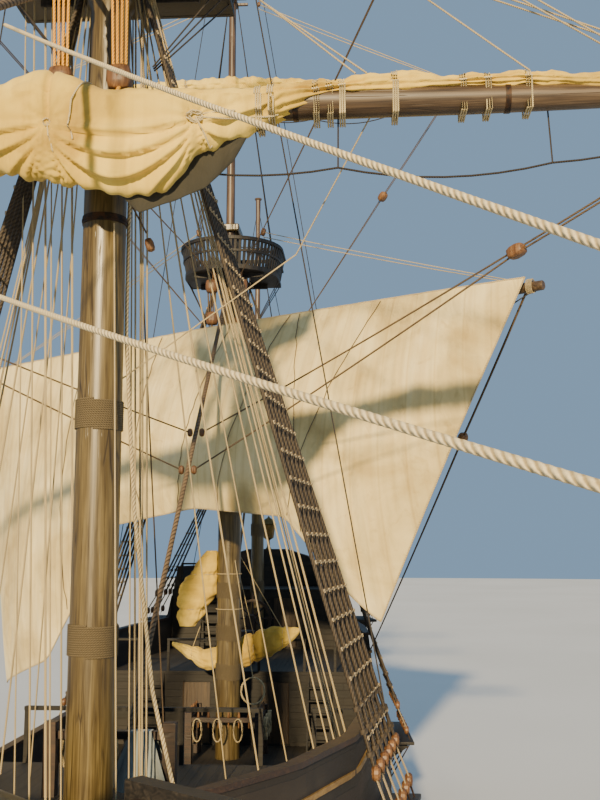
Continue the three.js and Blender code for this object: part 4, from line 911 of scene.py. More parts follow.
FORE = MastPlan("fore", x=9.8, deck=4.9, hounds=16.56, cap=18.05, foot=0.32, neck=0.29, head=0.19, floor=1.64,
                rim=1.79, topmast=0.125, crosstrees=24.6, truck=28.6, tip=0.06, shrouds=6, channel=4.46,
                out=0.6,
                spread=0.52, stay=0.05)
MAIN = MastPlan("main", x=-3.8, deck=2.9, hounds=15.68, cap=17.15, foot=0.32, neck=0.29, head=0.19,
                floor=1.29,
                rim=1.43, topmast=0.12, crosstrees=23.8, truck=29.4, tip=0.06, shrouds=6, channel=3.26,
                out=0.75,
                spread=0.52, stay=0.05)
MIZZEN = MastPlan("mizzen", x=-11.0, deck=4.9, hounds=13.0, cap=14.3, foot=0.22, neck=0.2, head=0.14,
                  floor=0.98,
                  rim=1.09, topmast=0.1, crosstrees=18.6, truck=20.5, tip=0.085, shrouds=4, channel=5.85,
                  out=0.82,
                  spread=0.45, stay=0.034)
TOPMAST_AHEAD = 0.45


@dataclass(frozen=True)
class YardPlan:
    """Sizes of one yard; brace is its turn at rest, port arm forward."""

    name: str
    x: float
    z: float
    ahead: float
    half: float
    mid: float
    tip: float
    brace: float = 0.0
    finish: str = "yard_varnish"

    @property
    def lower(self) -> bool:
        """True for a yard that hangs below its top."""
        return self.ahead > 0.6

    def place(self) -> Matrix:
        """Where the yard's own space lies: X ahead of the mast, Y along the yard to port."""
        return Matrix.Translation((self.x, 0, self.z)) @ Matrix.Rotation(-math.radians(self.brace), 4, "Z")

    def radius(self, y: float) -> float:
        """Radius at a distance along the yard: full amidships, then two tapers.

        Args:
            y: the distance from the middle.

        Returns:
            The radius.
        """
        share, waist = abs(y) / self.half, self.mid * 0.86
        if share < 0.18:
            return self.mid
        if share < 0.55:
            return self.mid * (1 - 0.14 * (share - 0.18) / 0.37)
        return waist + (self.tip - waist) * (share - 0.55) / 0.45

    def at(self, ahead: float, y: float, up: float) -> Point:
        """A point of the yard's own space in the ship's frame."""
        return tuple(self.place() @ Vector((ahead, y, up)))

    def world(self, places: np.ndarray) -> np.ndarray:
        """Places of the yard's own space in the ship's frame."""
        turn = np.array(self.place())
        return places @ turn[:3, :3].T + turn[:3, 3]


FORE_YARD = YardPlan("fore_yard", x=9.8, z=14.17, ahead=0.9, half=9.2, mid=0.225, tip=0.105)
MAIN_YARD = YardPlan("main_yard", x=-3.8, z=13.85, ahead=0.9, half=9.6, mid=0.225, tip=0.105, brace=34,
                     finish="main_yard_varnish")
FORE_TOPSAIL_YARD = YardPlan("fore_topsail_yard", x=10.25, z=20.7, ahead=0.43, half=6.4, mid=0.13, tip=0.07)
MAIN_TOPSAIL_YARD = YardPlan("main_topsail_yard", x=-3.35, z=20.9, ahead=0.43, half=6.5, mid=0.13, tip=0.07)
SPRITSAIL_YARD = YardPlan("spritsail_yard", x=22.5, z=7.5, ahead=0.0, half=6.6, mid=0.125, tip=0.065)

STATIONS = [(13.6, 0.34, -0.7), (13.2, 1.15, -0.15), (12.5, 1.95, -0.05), (11.3, 2.8, 0.0), (9.5, 3.56, 0.04),
            (6.6, 4.05, 0.1), (2.0, 4.3, 0.15), (-3.8, 4.3, 0.17), (-8.0, 4.12, 0.2), (-11.6, 3.72, 0.24),
            (-13.4, 3.35, 0.27), (-14.4, 3.08, 0.29)]
WALE_TOP, HULL_TOP = 1.05, 7.7


def hull_half(x: float, z: float) -> float:
    """Half breadth of the hull's side at a place above the main wale.

    Args:
        x: the place along the ship.
        z: its height.

    Returns:
        The distance from the middle line.
    """
    climb = max(0.0, (z - WALE_TOP) / (HULL_TOP - WALE_TOP)) ** 1.3
    halves = [half * (1 - tuck * climb) for _, half, tuck in reversed(STATIONS)]
    return float(np.interp(x, [row[0] for row in reversed(STATIONS)], halves))


def bowsprit_at(x: float, above: float = 0.0) -> Point:
    """A point over the bowsprit's middle line."""
    return (x, 0.0, 5.28 + (x - 11.9) * math.tan(math.radians(20)) + above)


@dataclass
class Studio:
    """Camera beside the bowsprit looking aft, soft light and a pale floor at the waterline."""

    eye: Point = (23.2, 3.6, 8.4)
    heading: float = 3.6
    pitch: float = 8.25
    lens: float = 45.0
    floor_radius: float = 240.0

    def camera(self) -> None:
        """Places the camera at the photograph's viewing angle."""
        data = bpy.data.cameras.new("camera")
        data.lens, data.sensor_width = self.lens, 36.0
        data.clip_start, data.clip_end = 0.1, 1000.0
        camera = added("camera", data)
        camera.location = self.eye
        camera.rotation_euler = self.ahead().to_track_quat("-Z", "Y").to_euler()
        bpy.context.scene.camera = camera

    def ahead(self) -> Vector:
        """The direction that the camera looks in."""
        turn, rise = math.radians(self.heading), math.radians(self.pitch)
        return Vector((-math.cos(turn) * math.cos(rise), -math.sin(turn) * math.cos(rise), math.sin(rise)))

    def lights(self) -> None:
        """Adds a soft low key light, a fill and the sky's even light."""
        world = bpy.data.worlds.new("studio")
        bpy.context.scene.world = world
        world.use_nodes = True
        back = next(n for n in world.node_tree.nodes if n.type == "BACKGROUND")
        back.inputs["Color"].default_value = (0.45, 0.7, 1.0, 1.0)
        back.inputs["Strength"].default_value = 0.5
        for name, place, energy, angle, colour in (
                ("key", (38.0, -2.8, 11.2), 8.0, 0.03, (1.0, 0.77, 0.43)),
                ("fill", (10.0, 40.0, 30.0), 0.2, 0.5, (0.85, 0.92, 1.0))):
            data = bpy.data.lights.new(name, "SUN")
            data.energy, data.angle, data.color = energy, angle, colour
            lamp = added(name, data)
            lamp.location = place
            lamp.rotation_euler = (-Vector(place)).to_track_quat("-Z", "Y").to_euler()

    def floor(self) -> None:
        """Lays the floor at the waterline."""
        deselect()
        bpy.ops.mesh.primitive_circle_add(vertices=96, radius=self.floor_radius, fill_type="NGON")
        floor = bpy.context.object
        floor.name = "floor"
        floor.data.materials.append(finish_named("pale_floor"))


@dataclass
class LowerMast:
    """A lower mast with its cheeks, bands and cap."""

    plan: MastPlan
    bands: tuple[float, ...]

    def build(self) -> None:
        """Builds the pole, its cap, its iron and rope bands."""
        p = self.plan
        here = Matrix.Translation((p.x, 0, 0))
        shoulder = p.hounds - 0.2203
        rings = [(p.deck + 0.0004, p.foot * 1.0), (p.deck + 0.5, p.radius(p.deck + 0.5))]
        rings += [(z, p.radius(z)) for z in np.arange(p.deck + 1.5, p.hounds - 1.0, 1.5)]
        rings += [(p.hounds - 0.5, p.neck), (p.hounds - 0.42, p.neck + 0.05), (shoulder, p.neck + 0.053),
                  (shoulder + 0.0001, p.neck - 0.02), (p.hounds, p.neck - 0.021), (p.hounds + 0.06, p.head),
                  (p.cap, p.head - 0.001)]
        pole = turned(rings, 56, here)
        half = p.head + 0.07
        cap = plank((-p.head - 0.09, -half, p.cap - 0.2), (TOPMAST_AHEAD + p.topmast + 0.11, half, p.cap),
                    0.03,
                    here)
        dress(joined([pole, cap]), f"{p.name}_mast_pole", "mast_varnish", "ship",
              (f"{p.name}_lower_mast",))
        hoops = []
        for z in self.bands[:1]:
            r = p.radius(z)
            hoops += [ring(r - 0.005, r + 0.014, z - 0.055, z + 0.055, 56, here),
                      ring(r - 0.005, r + 0.022, z - 0.012, z + 0.012, 56, here)]
        hoops.append(ring(p.head - 0.01, p.head + 0.012, p.cap - 0.32, p.cap - 0.24, 40, here))
        dress(joined(hoops), f"{p.name}_mast_hoops", "forged_iron", "ship")
        turns = []
        for z in self.bands[1:]:
            r = p.radius(z) + 0.016
            turns.append(Line(helix(p.x, r - 0.004, z - 0.2, 0.029, 14), 0.0145))
        if turns:
            rope(f"{p.name}_mast_woolding", turns, "woolding_rope", "ship", 6)


def helix(x: float, r: float, z: float, pitch: float, turns: int) -> list[Point]:
    """Points of a rope wound round an upright spar: its middle, radius, foot, rise a turn and turns."""
    return [(x + r * math.cos(i * TURN / 24), r * math.sin(i * TURN / 24), z + pitch * i / 24)
            for i in range(turns * 24 + 1)]


@dataclass
class Topmast:
    """A topmast with its fid, crosstrees and truck."""

    plan: MastPlan

    def build(self) -> None:
        """Builds the pole and its crosstrees."""
        p = self.plan
        here = Matrix.Translation((p.x + TOPMAST_AHEAD, 0, 0))
        top = p.topmast * 0.8
        pole = turned([
            (p.hounds - 0.2, p.topmast * 0.97), (p.hounds - 0.1, p.topmast), (p.cap + 0.05, p.topmast),
            ((p.cap + p.crosstrees) / 2, p.topmast * 0.91), (p.crosstrees - 0.2, top),
                       (p.crosstrees, top * 0.98),
            (p.crosstrees + 0.08, top * 0.8), ((p.crosstrees + p.truck) / 2, (top * 0.8 + p.tip) / 2),
            (p.truck - 0.075, p.tip), (p.truck - 0.06, p.tip + 0.03), (p.truck - 0.03, p.tip + 0.044),
            (p.truck - 0.008, p.tip + 0.035), (p.truck, p.tip * 0.4),
        ], 36, here)
        fid = plank((-0.035, -p.neck - 0.06, p.hounds + 0.0004), (0.035, p.neck + 0.06, p.hounds + 0.07),
                    0.008,
                    here)
        z = p.crosstrees
        beams = [plank((x - 0.035, -0.42, z - 0.04), (x + 0.035, 0.42, z + 0.04), 0.012, here)
                 for x in (-0.16, 0.16)]
        beams += [plank((-0.3, s * top - 0.04, z - 0.07), (0.3, s * top + 0.04, z + 0.01), 0.012, here)
                  for s in (-1, 1)]
        dress(joined([pole, fid, *beams]), f"{p.name}_topmast_pole", "topmast_varnish", "ship",
              (f"{p.name}_topmast",))
        lines = []
        for side in (1, -1):
            for i in range(3):
                dy = side * (p.floor * 0.93)
                dx = -0.25 - 0.3 * i
                lines.append(Line([(p.x + dx, dy, p.hounds + 0.1),
                                   (p.x + TOPMAST_AHEAD - 0.05, side * 0.12, z + 0.02)], 0.014))
            for level in np.arange(p.hounds + 1.3, z - 0.6, 0.42):
                share = (level - p.hounds - 0.1) / (z - p.hounds - 0.08)
                y = side * (p.floor * 0.93 + (0.12 - p.floor * 0.93) * share)
                xs = [p.x - 0.25 - 0.3 * i + (TOPMAST_AHEAD + 0.2 + 0.3 * i) * share for i in (0, 2)]
                lines.append(Line([(xs[0], y, level), (xs[1], y, level)], 0.006))
            lines.append(Line([(p.x + TOPMAST_AHEAD - 0.06, side * 0.05, p.truck - 0.6),
                               (p.x - 2.6 * (p.floor / 1.64), side * (hull_half(p.x - 3.2, 5.0) + 0.12),
                                5.6)],
                              0.012))
        rope(f"{p.name}_topmast_shrouds", lines, "tarred_rope", "ship", 5)


@dataclass
class SlattedTop:
    """A top with a half round front, straight sides and a straight after edge, on its trestle trees."""

    plan: MastPlan
    step: float = 0.115
    back_share: float = 0.7

    def outline(self, half: float, back: float, parts: int = 24) -> list[tuple[float, float]]:
        """The top's outline in plan, from its starboard after corner round the front."""
        turns = [math.pi * (i / parts - 0.5) for i in range(parts + 1)]
        return [(-back, -half), *((half * math.cos(a), half * math.sin(a)) for a in turns), (-back, half)]

    def band(self, outer: list[tuple[float, float]], inner: list[tuple[float, float]], low: float,
             high: float) -> Piece:
        """A closed band of timber between two outlines with the same number of corners.

        Args:
            outer: the outer outline in plan.
            inner: the inner one.
            low: height of its underside over the hounds.
            high: height of its upper side.

        Returns:
            The object, in place.
        """
        rows = [[(*a, low), (*a, high), (*b, high), (*b, low)] for a, b in zip(outer, inner)]
        rows.append(rows[0])
        edit(grid_mesh("band", np.array(rows), np.zeros((len(rows), 5, 2)), True))
        bpy.ops.mesh.remove_doubles(threshold=0.0001)
        bpy.ops.mesh.delete_loose()
        return settle(bpy.context.object, Matrix.Translation((self.plan.x, 0, self.plan.hounds)))

    def _slats(self, back: float) -> Piece:
        """Slats all round, leaning out from the floor to the rim.

        Args:
            back: how far the after edge lies behind the mast.

        Returns:
            The object, in place.
        """
        p = self.plan
        low = evenly(np.array([(*at, 0.0) for at in self.outline(p.floor - 0.05, back - 0.05)]), self.step)
        after = evenly(np.array([(0.05 - back, s * (p.floor - 0.05), 0.0) for s in (1, -1)]), self.step)
        lean = p.rim - p.floor + 0.005
        places = []
        for x, y, _ in [*low, *after[1:-1]]:
            if x > 0:
                out = math.atan2(y, x)
            else:
                out = math.pi if abs(y) < p.floor - 0.06 else math.copysign(math.pi / 2, y)
            places.append(Matrix.Translation((p.x + x, y, p.hounds + 0.06)) @ Matrix.Rotation(out, 4, "Z")
                          @ Matrix.Rotation(math.atan2(lean, 0.78), 4, "Y"))
        return copies(plank((-0.02, -0.038, 0.0), (0.02, 0.038, math.hypot(0.78, lean)), 0.006), places)

    def build(self) -> None:
        """Builds floor, rim, slats, trestle trees and futtock shrouds."""
        p = self.plan
        here = Matrix.Translation((p.x, 0, p.hounds))
        back = p.floor * self.back_share
        spread = p.rim - p.floor
        inner = p.neck - 0.0197
        aft, fore = -p.head - 0.27, TOPMAST_AHEAD + p.topmast + 0.09
        half = inner + 0.25
        edge = self.outline(p.floor, back)
        well = [(max(aft, min(fore, x)), max(-half, min(half, y))) for x, y in edge]
        trees = [plank((-p.floor * 0.68, min(s * inner, s * (inner + 0.09)), -0.22),
                       (p.floor * 0.76, max(s * inner, s * (inner + 0.09)), 0.0), 0.015, here) for s
                 in (1, -1)]
        cross = [plank((x - 0.05, -p.floor * 0.74, -0.09), (x + 0.05, p.floor * 0.74, 0.05), 0.012, here)
                 for x in (aft - 0.05, fore + 0.05)]
        bands = [self.band(edge, well, 0.04, 0.09)]
        for out, high, low, width in ((spread, 0.9, 0.81, 0.085), (spread * 0.55, 0.55, 0.49, 0.035),
                                      (0.012, 0.15, 0.036, 0.06)):
            bands.append(self.band(self.outline(p.floor + out, back + out),
                                   self.outline(p.floor + out - width, back + out - width), low, high))
        dress(joined([*trees, *cross, *bands, self._slats(back)]), f"{p.name}_top_basket",
              "tarred_upright", "ship", (f"{p.name}_top",))
        lines = []
        for side in (1, -1):
            for i in range(3):
                dx = -0.2 - 0.3 * i
                lines.append(Line([(p.x + dx, side * (p.floor - 0.02), p.hounds + 0.04),
                                   (p.x - 0.1 - 0.06 * i, side * (p.neck + 0.32), p.hounds - 1.3)], 0.013))
        rope(f"{p.name}_futtock_shrouds", lines, "tarred_rope", "ship", 5)


@dataclass
class Bowsprit:
    """The bowsprit with its bees, sling saddle, bands and lashing."""

    def build(self) -> None:
        """Builds the spar and what is on it."""
        foot, tip = bowsprit_at(11.9), bowsprit_at(23.9)
        place = along(foot, tip)
        length = (Vector(tip) - Vector(foot)).length
        spar = turned([(0.0, 0.25), (0.03, 0.28), (length * 0.3, 0.252), (length * 0.6, 0.209),
                       (length * 0.9, 0.165), (length - 0.02, 0.15), (length, 0.13)], 44, place)
        crown = bowsprit_at(22.5)[2]
        saddle = plank((22.39, -0.06, crown - 0.33), (22.61, 0.06, crown - 0.05), 0.012)
        end = bowsprit_at(23.9)[2]
        bees = plank((23.4, -0.26, end - 0.17), (23.78, 0.26, end - 0.1), 0.02)
        dress(joined([spar, saddle, bees]), "bowsprit_spar", "bowsprit_varnish", "ship",
              ("bowsprit",))
        hoops = []
        for share in (0.45, 0.72, 0.93):
            r = 0.28 - 0.13 * share
            hoops.append(ring(r - 0.004, r + 0.013, share * length - 0.05, share * length + 0.05, 44, place))
        dress(joined(hoops), "bowsprit_hoops", "forged_iron", "ship")
        turns = []
        for start in (2.9, 4.0):
            r = 0.29 - 0.13 * start / length
            turns.append(Line([tuple(place @ Vector((r * math.cos(i * TURN / 20), r * math.sin(i * TURN / 20),
                                                     start + 0.045 * i / 20))) for i in range(20 * 9)],
                              0.021))
        rope("bowsprit_gammoning", turns, "brown_rope", "ship", 6)


@dataclass
class YardSpar:
    """A yard with its parrel, bands, footropes, lifts and blocks."""

    plan: YardPlan
    mast: MastPlan | None
    lift_to: float = 0.0
    lift_y: float = 0.3
    footrope: float = 0.9

    def build(self) -> None:
        """Builds the spar and what rides on it."""
        p = self.plan
        axis = p.place() @ Matrix.Translation((p.ahead, 0, 0)) @ Matrix.Rotation(-math.pi / 2, 4, "X")
        shares = [-0.85, -0.7, -0.55, -0.36, -0.18, 0, 0.18, 0.36, 0.55, 0.7, 0.85]
        rings = [(-p.half, p.tip * 0.8), (-p.half + 0.02, p.tip),
                 *((s * p.half, p.radius(s * p.half)) for s in shares),
                 (p.half - 0.02, p.tip), (p.half, p.tip * 0.8)]
        pieces = [turned(rings, 40, axis)]
        if self.mast:
            pieces += self._parrel()
        for y in (side * share * p.half for side in (-1, 1) for share in (0.93, 0.79)):
            cleat = p.place() @ Matrix.Translation((p.ahead, y, 0)) @ Matrix.Rotation(-1.2, 4, "Y")
            pieces.append(plank((-0.02, -0.11, p.radius(y) - 0.01), (0.02, 0.11, p.radius(y) + 0.035), 0.008,
                                cleat))
        dress(joined(pieces), f"{p.name}_spar", p.finish, p.name, (p.name,))
        hoops = []
        for y in (side * share * p.half for side in (-1, 1) for share in (0.965, 0.6, 0.3)):
            hoops.append(ring(p.radius(y) - 0.004, p.radius(y) + 0.011, y - 0.035, y + 0.035, 32, axis))
        dress(joined(hoops), f"{p.name}_hoops", "forged_iron", p.name)
        if self.lift_to:
            self._lifts()
        self._footropes()

    def _parrel(self) -> list[Piece]:
        """Ribs and a chock that hold the yard to its mast.

        Returns:
            The pieces.
        """
        p = self.plan
        if p.lower:
            r, count, collar, chock = self.mast.radius(p.z), 14, 0.13, 0.14
        else:
            r, count, collar, chock = self.mast.topmast * 0.9, 10, 0.078, 0.08
        here = Matrix.Translation((p.x, 0, p.z))
        places = [here @ Matrix.Rotation(i * TURN / count, 4, "Z") for i in range(count)]
        ribs = [copies(plank((r + 0.012, -0.03, -collar), (r + 0.05, 0.03, collar), 0.012), places)]
        for z in (-0.6, 0, 0.6):
            ribs.append(ring(r + 0.02, r + 0.042, z * collar - 0.018, z * collar + 0.018, 28, here))
        back = p.ahead - p.radius(0) * 0.8
        return [*ribs, plank((r + 0.02, -chock, -0.11), (back, chock, 0.11), 0.02, p.place())]

    def _footropes(self) -> None:
        """Footropes with their stirrups."""
        p = self.plan
        lines, behind = [], p.ahead + 0.02
        stations = [(0.97, 0.12), (0.66, self.footrope), (0.36, self.footrope), (0.06, self.footrope * 0.8)]
        for side in (-1, 1):
            points = []
            for (a, drop_a), (b, drop_b) in zip(stations, stations[1:]):
                for share in np.arange(8) / 8:
                    low = drop_a + (drop_b - drop_a) * share + 0.16 * 4 * share * (1 - share)
                    points.append(p.at(behind, side * p.half * (a + (b - a) * share), -low))
            lines.append(Line([*points, p.at(behind, side * p.half * 0.05, -0.15)], 0.014))
            for share, drop in stations[1:]:
                y = side * p.half * share
                r = p.radius(y)
                lines.append(Line([p.at(behind, y, -drop), p.at(p.ahead - r - 0.012, y, -0.05),
                                   p.at(p.ahead - r * 0.7, y, r * 0.78), p.at(p.ahead, y, r + 0.012)], 0.011))
        rope(f"{p.name}_footropes", lines, "tarred_rope", p.name)

    def _lifts(self) -> None:
        """The lifts from the masthead to the yardarms, with their blocks."""
        p = self.plan
        x = p.x + (0.3 if p.lower else 0.0)
        heads = [((x, side * self.lift_y, self.lift_to), (0, 0.3 * side, 1)) for side in (-1, 1)]
        Blocks(f"{p.name}_lift_blocks", "ship", 0.18 if p.lower else 0.12, heads).build()
        for side, word in reversed(SIDES):
            for k, shift in enumerate((0.0, 0.14)):
                end = p.at(p.ahead, side * p.half * (0.95 - shift * 0.1), p.radius(p.half * 0.95) + 0.02)
                line = Line([(x, side * self.lift_y, self.lift_to - shift), end], 0.012, 0.004, 12)
                lead(f"{p.name}_lift_{word}_{k}", line, "manila_rope", p.name)


def rough(points: np.ndarray, scale: Point, seed: float) -> np.ndarray:
    """Smooth noise from -1 to 1 at some points.

    Args:
        points: an array of places, three numbers each.
        scale: how fast the noise changes along each axis.
        seed: where in the noise to look.

    Returns:
        One value a point.
    """
    at = points.reshape(-1, 3) * np.array(scale) + seed
    return np.array([noise.noise(Vector(row)) for row in at]).reshape(points.shape[:-1])


def grid_mesh(name: str, places: np.ndarray, uv: np.ndarray, round_it: bool) -> Piece:
    """A mesh of four-sided faces over rows of places.

    Args:
        name: the mesh's name.
        places: rows by columns by three.
        uv: rows by columns by two; one column more than places has where it goes round.
        round_it: True to join the last column to the first and close both ends.

    Returns:
        The object.
    """
    rows, columns = places.shape[:2]
    i, j = np.meshgrid(np.arange(rows - 1), np.arange(columns - (not round_it)), indexing="ij")
    k = (j + 1) % columns
    faces = np.stack([i * columns + j, (i + 1) * columns + j, (i + 1) * columns + k, i * columns + k],
                     axis=-1)
    faces = faces.reshape(-1, 4).tolist()
    corners = np.stack([uv[i, j], uv[i + 1, j], uv[i + 1, j + 1], uv[i, j + 1]], axis=2).reshape(-1, 2)
    if round_it:
        faces += [list(range(columns)), [(rows - 1) * columns + c for c in reversed(range(columns))]]
        corners = np.concatenate([corners, np.zeros((2 * columns, 2))])
    return mapped_mesh(name, places.reshape(-1, 3), faces, corners)


def eased(at: np.ndarray, places: np.ndarray, values: np.ndarray, width: float) -> np.ndarray:
    """Values between given places, with the corners eased.

    Args:
        at: where they are wanted.
        places: where they are known.
        values: the known values.
        width: over how much a corner is eased.

    Returns:
        The values.
    """
    total = np.zeros_like(at)
    for shift, weight in ((-1, 1), (-0.5, 2), (0, 3), (0.5, 2), (1, 1)):
        total += weight * np.interp(at + shift * width, places, values)
    return total / 9


def roll(name: str, s: np.ndarray, girth: np.ndarray, places: np.ndarray, finish: str, body: str,
         node: str) -> None:
    """A closed roll of canvas.

    Args:
        name: its name.
        s: distances along it, one row for each.
        girth: places round it in its UV map, one more than its columns.
        places: its skin.
        finish: a name in FINISHES.
        body: the body that carries it.
        node: the node that it stands for.
    """
    uv = np.stack([np.repeat(s[:, :1], len(girth), axis=1), np.tile(girth, (len(s), 1))], axis=-1)
    piece = dress(grid_mesh(name, places, uv, True), name, finish, body, (node,), 180.0)


def thickened(piece: Piece, wall: float) -> Piece:
    """Gives a sheet its thickness, half of it on each side.

    Args:
        piece: the sheet.
        wall: the thickness.

    Returns:
        The sheet.
    """
    hold(piece)
    solid = piece.modifiers.new("wall", "SOLIDIFY")
    solid.thickness, solid.offset = wall, 0.0
    bpy.ops.object.modifier_apply(modifier=solid.name)
    return piece


@dataclass
class FurledSail:
    """A sail rolled on its yard, fuller in the bunt, with pleats at its gaskets."""

    yard: YardPlan
    name: str
    replaces: str
    rows: np.ndarray
    bunt: tuple[float, float]
    gaskets: tuple[float, ...]
    bays: tuple[tuple[float, float, float, float, float, float], ...] = ()
    around: int = 96

    def section(self, along_yard: np.ndarray) -> list[np.ndarray]:
        """Sizes of the roll at places along the yard: ahead, above, deep, up, down."""
        return [eased(along_yard, self.rows[:, 0], self.rows[:, k], 0.16) for k in range(1, 6)]

    def surface(self, s: np.ndarray, phi: np.ndarray) -> tuple[np.ndarray, np.ndarray]:
        """Places of the roll's skin in the yard's own space.

        Args:
            s: distances along the yard.
            phi: angles round the roll, 0 ahead and a quarter turn up.

        Returns:
            The places and the outward direction at each.
        """
        ahead, above, deep, up, down = self.section(s)
        rise = np.where(np.sin(phi) >= 0, up, down)
        x = self.yard.ahead + ahead + deep * np.cos(phi)
        z = above + rise * np.sin(phi)
        out = np.stack([np.cos(phi) / deep, np.zeros_like(phi), np.sin(phi) / rise], axis=-1)
        out /= np.linalg.norm(out, axis=-1)[..., None]
        return np.stack([x, s, z], axis=-1), out

    def folds(self, s: np.ndarray, phi: np.ndarray, places: np.ndarray) -> np.ndarray:
        """How far each place stands in or out of the plain roll.

        Args:
            s: distances along the yard.
            phi: angles round the roll.
            places: the plain roll's skin there.

        Returns:
            The distances.
        """
        deep = self.section(s)[2]
        wander = rough(places, (1.1, 0.9, 1.1), 3.7)
        turns = phi * 1.5 / math.pi
        slant = np.sin(TURN * (s / 0.62 + turns * 0.55 + wander * 0.7))
        fine = np.sin(TURN * (s / 0.23 - turns * 0.8 + wander * 1.3))
        size = np.clip(deep / 0.27, 0.3, 1.2)
        lift = size * (0.03 * np.abs(slant) ** 0.7 * np.sign(slant) + 0.014 * fine)
        lift += size * 0.03 * rough(places, (2.2, 1.3, 2.2), 9.1)
        for place in self.gaskets:
            gap = np.abs(s - place)
            lift -= 0.2 * deep * np.exp(-(gap / 0.07) ** 2)
            lift += 0.014 * np.cos(13 * phi + 3 * wander) * np.exp(-gap / 0.28)
        return self._swags(s, phi, places, lift) if self.bays else lift

    def _swags(self, s: np.ndarray, phi: np.ndarray, places: np.ndarray, lift: np.ndarray) -> np.ndarray:
        """Folds of the bunt that hang between the places where it is gathered.

        Args:
            s: distances along the yard.
            phi: angles round the roll.
            places: the plain roll's skin there.
            lift: the plain roll's folds.

        Returns:
            The distances of the skin from the plain roll.
        """
        z = places[..., 2]
        wander = rough(places, (0.9, 0.9, 0.9), 21.0)
        total = np.zeros_like(s)
        for left, right, from_z, to_z, pitch, deep in self.bays:
            t = np.clip((s - left) / (right - left), 0, 1)
            sag = 0.1 + np.clip(4 * t * (1 - t), 0, 1) ** 0.7
            hang = (from_z + (to_z - from_z) * t - z) / sag
            turn = (hang / pitch + 0.3 * wander + 0.2 * t) % 1
            shape = np.where(turn < 0.78, (turn / 0.78) ** 1.4,
                             0.5 + 0.5 * np.cos(math.pi * (turn - 0.78) / 0.22))
            inside = np.clip(t * (1 - t) * 22, 0, 1) * np.clip(hang * 9 + 0.25, 0, 1)
            total += inside * deep * np.clip(sag, 0.35, 1) * (shape - 0.35)
        for (place, height), spread in zip(GATHERS, (0.15, 0.17)):
            across, below = s - place, z - height
            reach = np.hypot(across, below)
            total -= 0.11 * np.exp(-(reach / spread) ** 2)
            pleats = np.cos(11 * np.arctan2(below, across) + wander)
            total += 0.03 * pleats * np.exp(-reach / 0.3) * np.clip(reach * 9, 0, 1)
        drape = np.clip((-0.5 - s) * 6, 0, 1) * np.clip((z + 0.32) * 5, 0,
                                                        1) * np.exp(-np.abs(s + 0.42) / 1.4)
        total += 0.036 * (np.abs(np.sin(math.pi * (z - 0.55 * s + 0.05 * wander) / 0.27)) - 0.6) * drape
        seam = np.exp(-((s + 0.4) / 0.035) ** 2) * np.clip((z + 0.5) * 4, 0, 1)
        pleats = np.where(s < -0.4, np.cos(TURN * (z - 0.5 * s) / 0.075), 0) * np.exp(-np.abs(s + 0.4) / 0.1)
        total += -0.07 * seam + 0.014 * pleats * np.clip((0.15 - z) * 5, 0, 1)
        front = np.clip(np.cos(phi) * 1.8 + 0.5, 0, 1)
        weight = front * np.clip((s + 2.4) / 0.4, 0, 1) * np.clip((2.75 - s) / 0.4, 0, 1)
        return lift * (1 - 0.75 * weight) + total * weight

    def _back_fold(self) -> None:
        """The layer of the sail that hangs behind the bunt's port half, coloured near black as painted shade.
        """
        edge = np.array([(0.42, -1.2), (0.74, -1.52), (1.15, -1.36), (1.59, -1.17), (1.96, -0.82),
                         (2.15, -0.5)])
        head, start, end = -0.3, edge[0, 0], edge[-1, 0]
        s, phi = np.meshgrid(np.linspace(start, end, 70), np.arange(64) * TURN / 64, indexing="ij")
        low = np.interp(s, edge[:, 0], edge[:, 1])
        z = (head + low) / 2 + (head - low) / 2 * np.sin(phi)
        thick = 0.05 * (0.4 + 0.6 * np.clip(np.minimum(s - start, end - s) * 6, 0, 1))
        x = self.yard.ahead + 0.16 + 0.1 * np.sin(3 * z + s) * 0.5 + thick * np.cos(phi)
        places = np.stack([x, s, z], axis=-1)
        places[..., 0] += 0.03 * rough(places * (0, 1, 1), (1, 4.5, 1.4), 3.0)
        roll(f"{self.name}_back", s, np.linspace(0, 2, 65), self.yard.world(places), "shaded_canvas",
             self.yard.name,
             self.replaces)

    def _on_front(self, s: np.ndarray, z: np.ndarray) -> list[Point]:
        """Points on the front of the folded skin.

        Args:
            s: distances along the yard.
            z: heights over it.

        Returns:
            The points, in the ship's frame.
        """
        _, above, _, up, down = self.section(s)
        phi = np.arcsin(np.clip((z - above) / np.where(z >= above, up, down), -0.98, 0.98))
        return [self.yard.at(*row) for row in self._skin(s, phi, 0.014)]

    def _skin(self, s: np.ndarray, phi: np.ndarray, off: float) -> np.ndarray:
        """Places a little off the folded skin, at distances along the yard and angles round the roll."""
        skin, out = self.surface(s, phi)
        return skin + out * (self.folds(s, phi, skin) + off)[..., None]

    def _bunt_lines(self) -> None:
        """The line that loops over the bunt and the knots where the bunt is gathered."""
        t, turn = np.linspace(0, 1, 30), np.linspace(0, 3 * TURN, 60)
        wide = 1 + 0.3 * np.sin(1.7 * turn)
        rows = [(np.interp(t, (0, 0.4, 0.8, 1), (0.12, -0.06, -0.1, -0.04)), 0.2 - 0.86 * t),
                (np.interp(t, (0, 0.5, 1), (-0.42, -0.36, -0.3)), -0.4 - 0.42 * t),
                (1.5 + 0.2 * t, -0.36 - 0.36 * t),
                (1.5 + 1.05 * t, -0.36 + 0.14 * t - 0.3 * t * (1 - t)), (1.52 + 0.5 * t, -0.33 + 0.05 * t),
                (1.5 + 0.085 * wide * np.cos(turn), -0.36 + 0.06 * wide * np.sin(turn)),
                (-0.42 + 0.04 * np.cos(turn), -0.4 + 0.05 * np.sin(turn))]
        rope(f"{self.name}_bunt_lines", [Line(self._on_front(s, z), 0.012) for s, z in rows], "gasket_rope",
             self.yard.name)

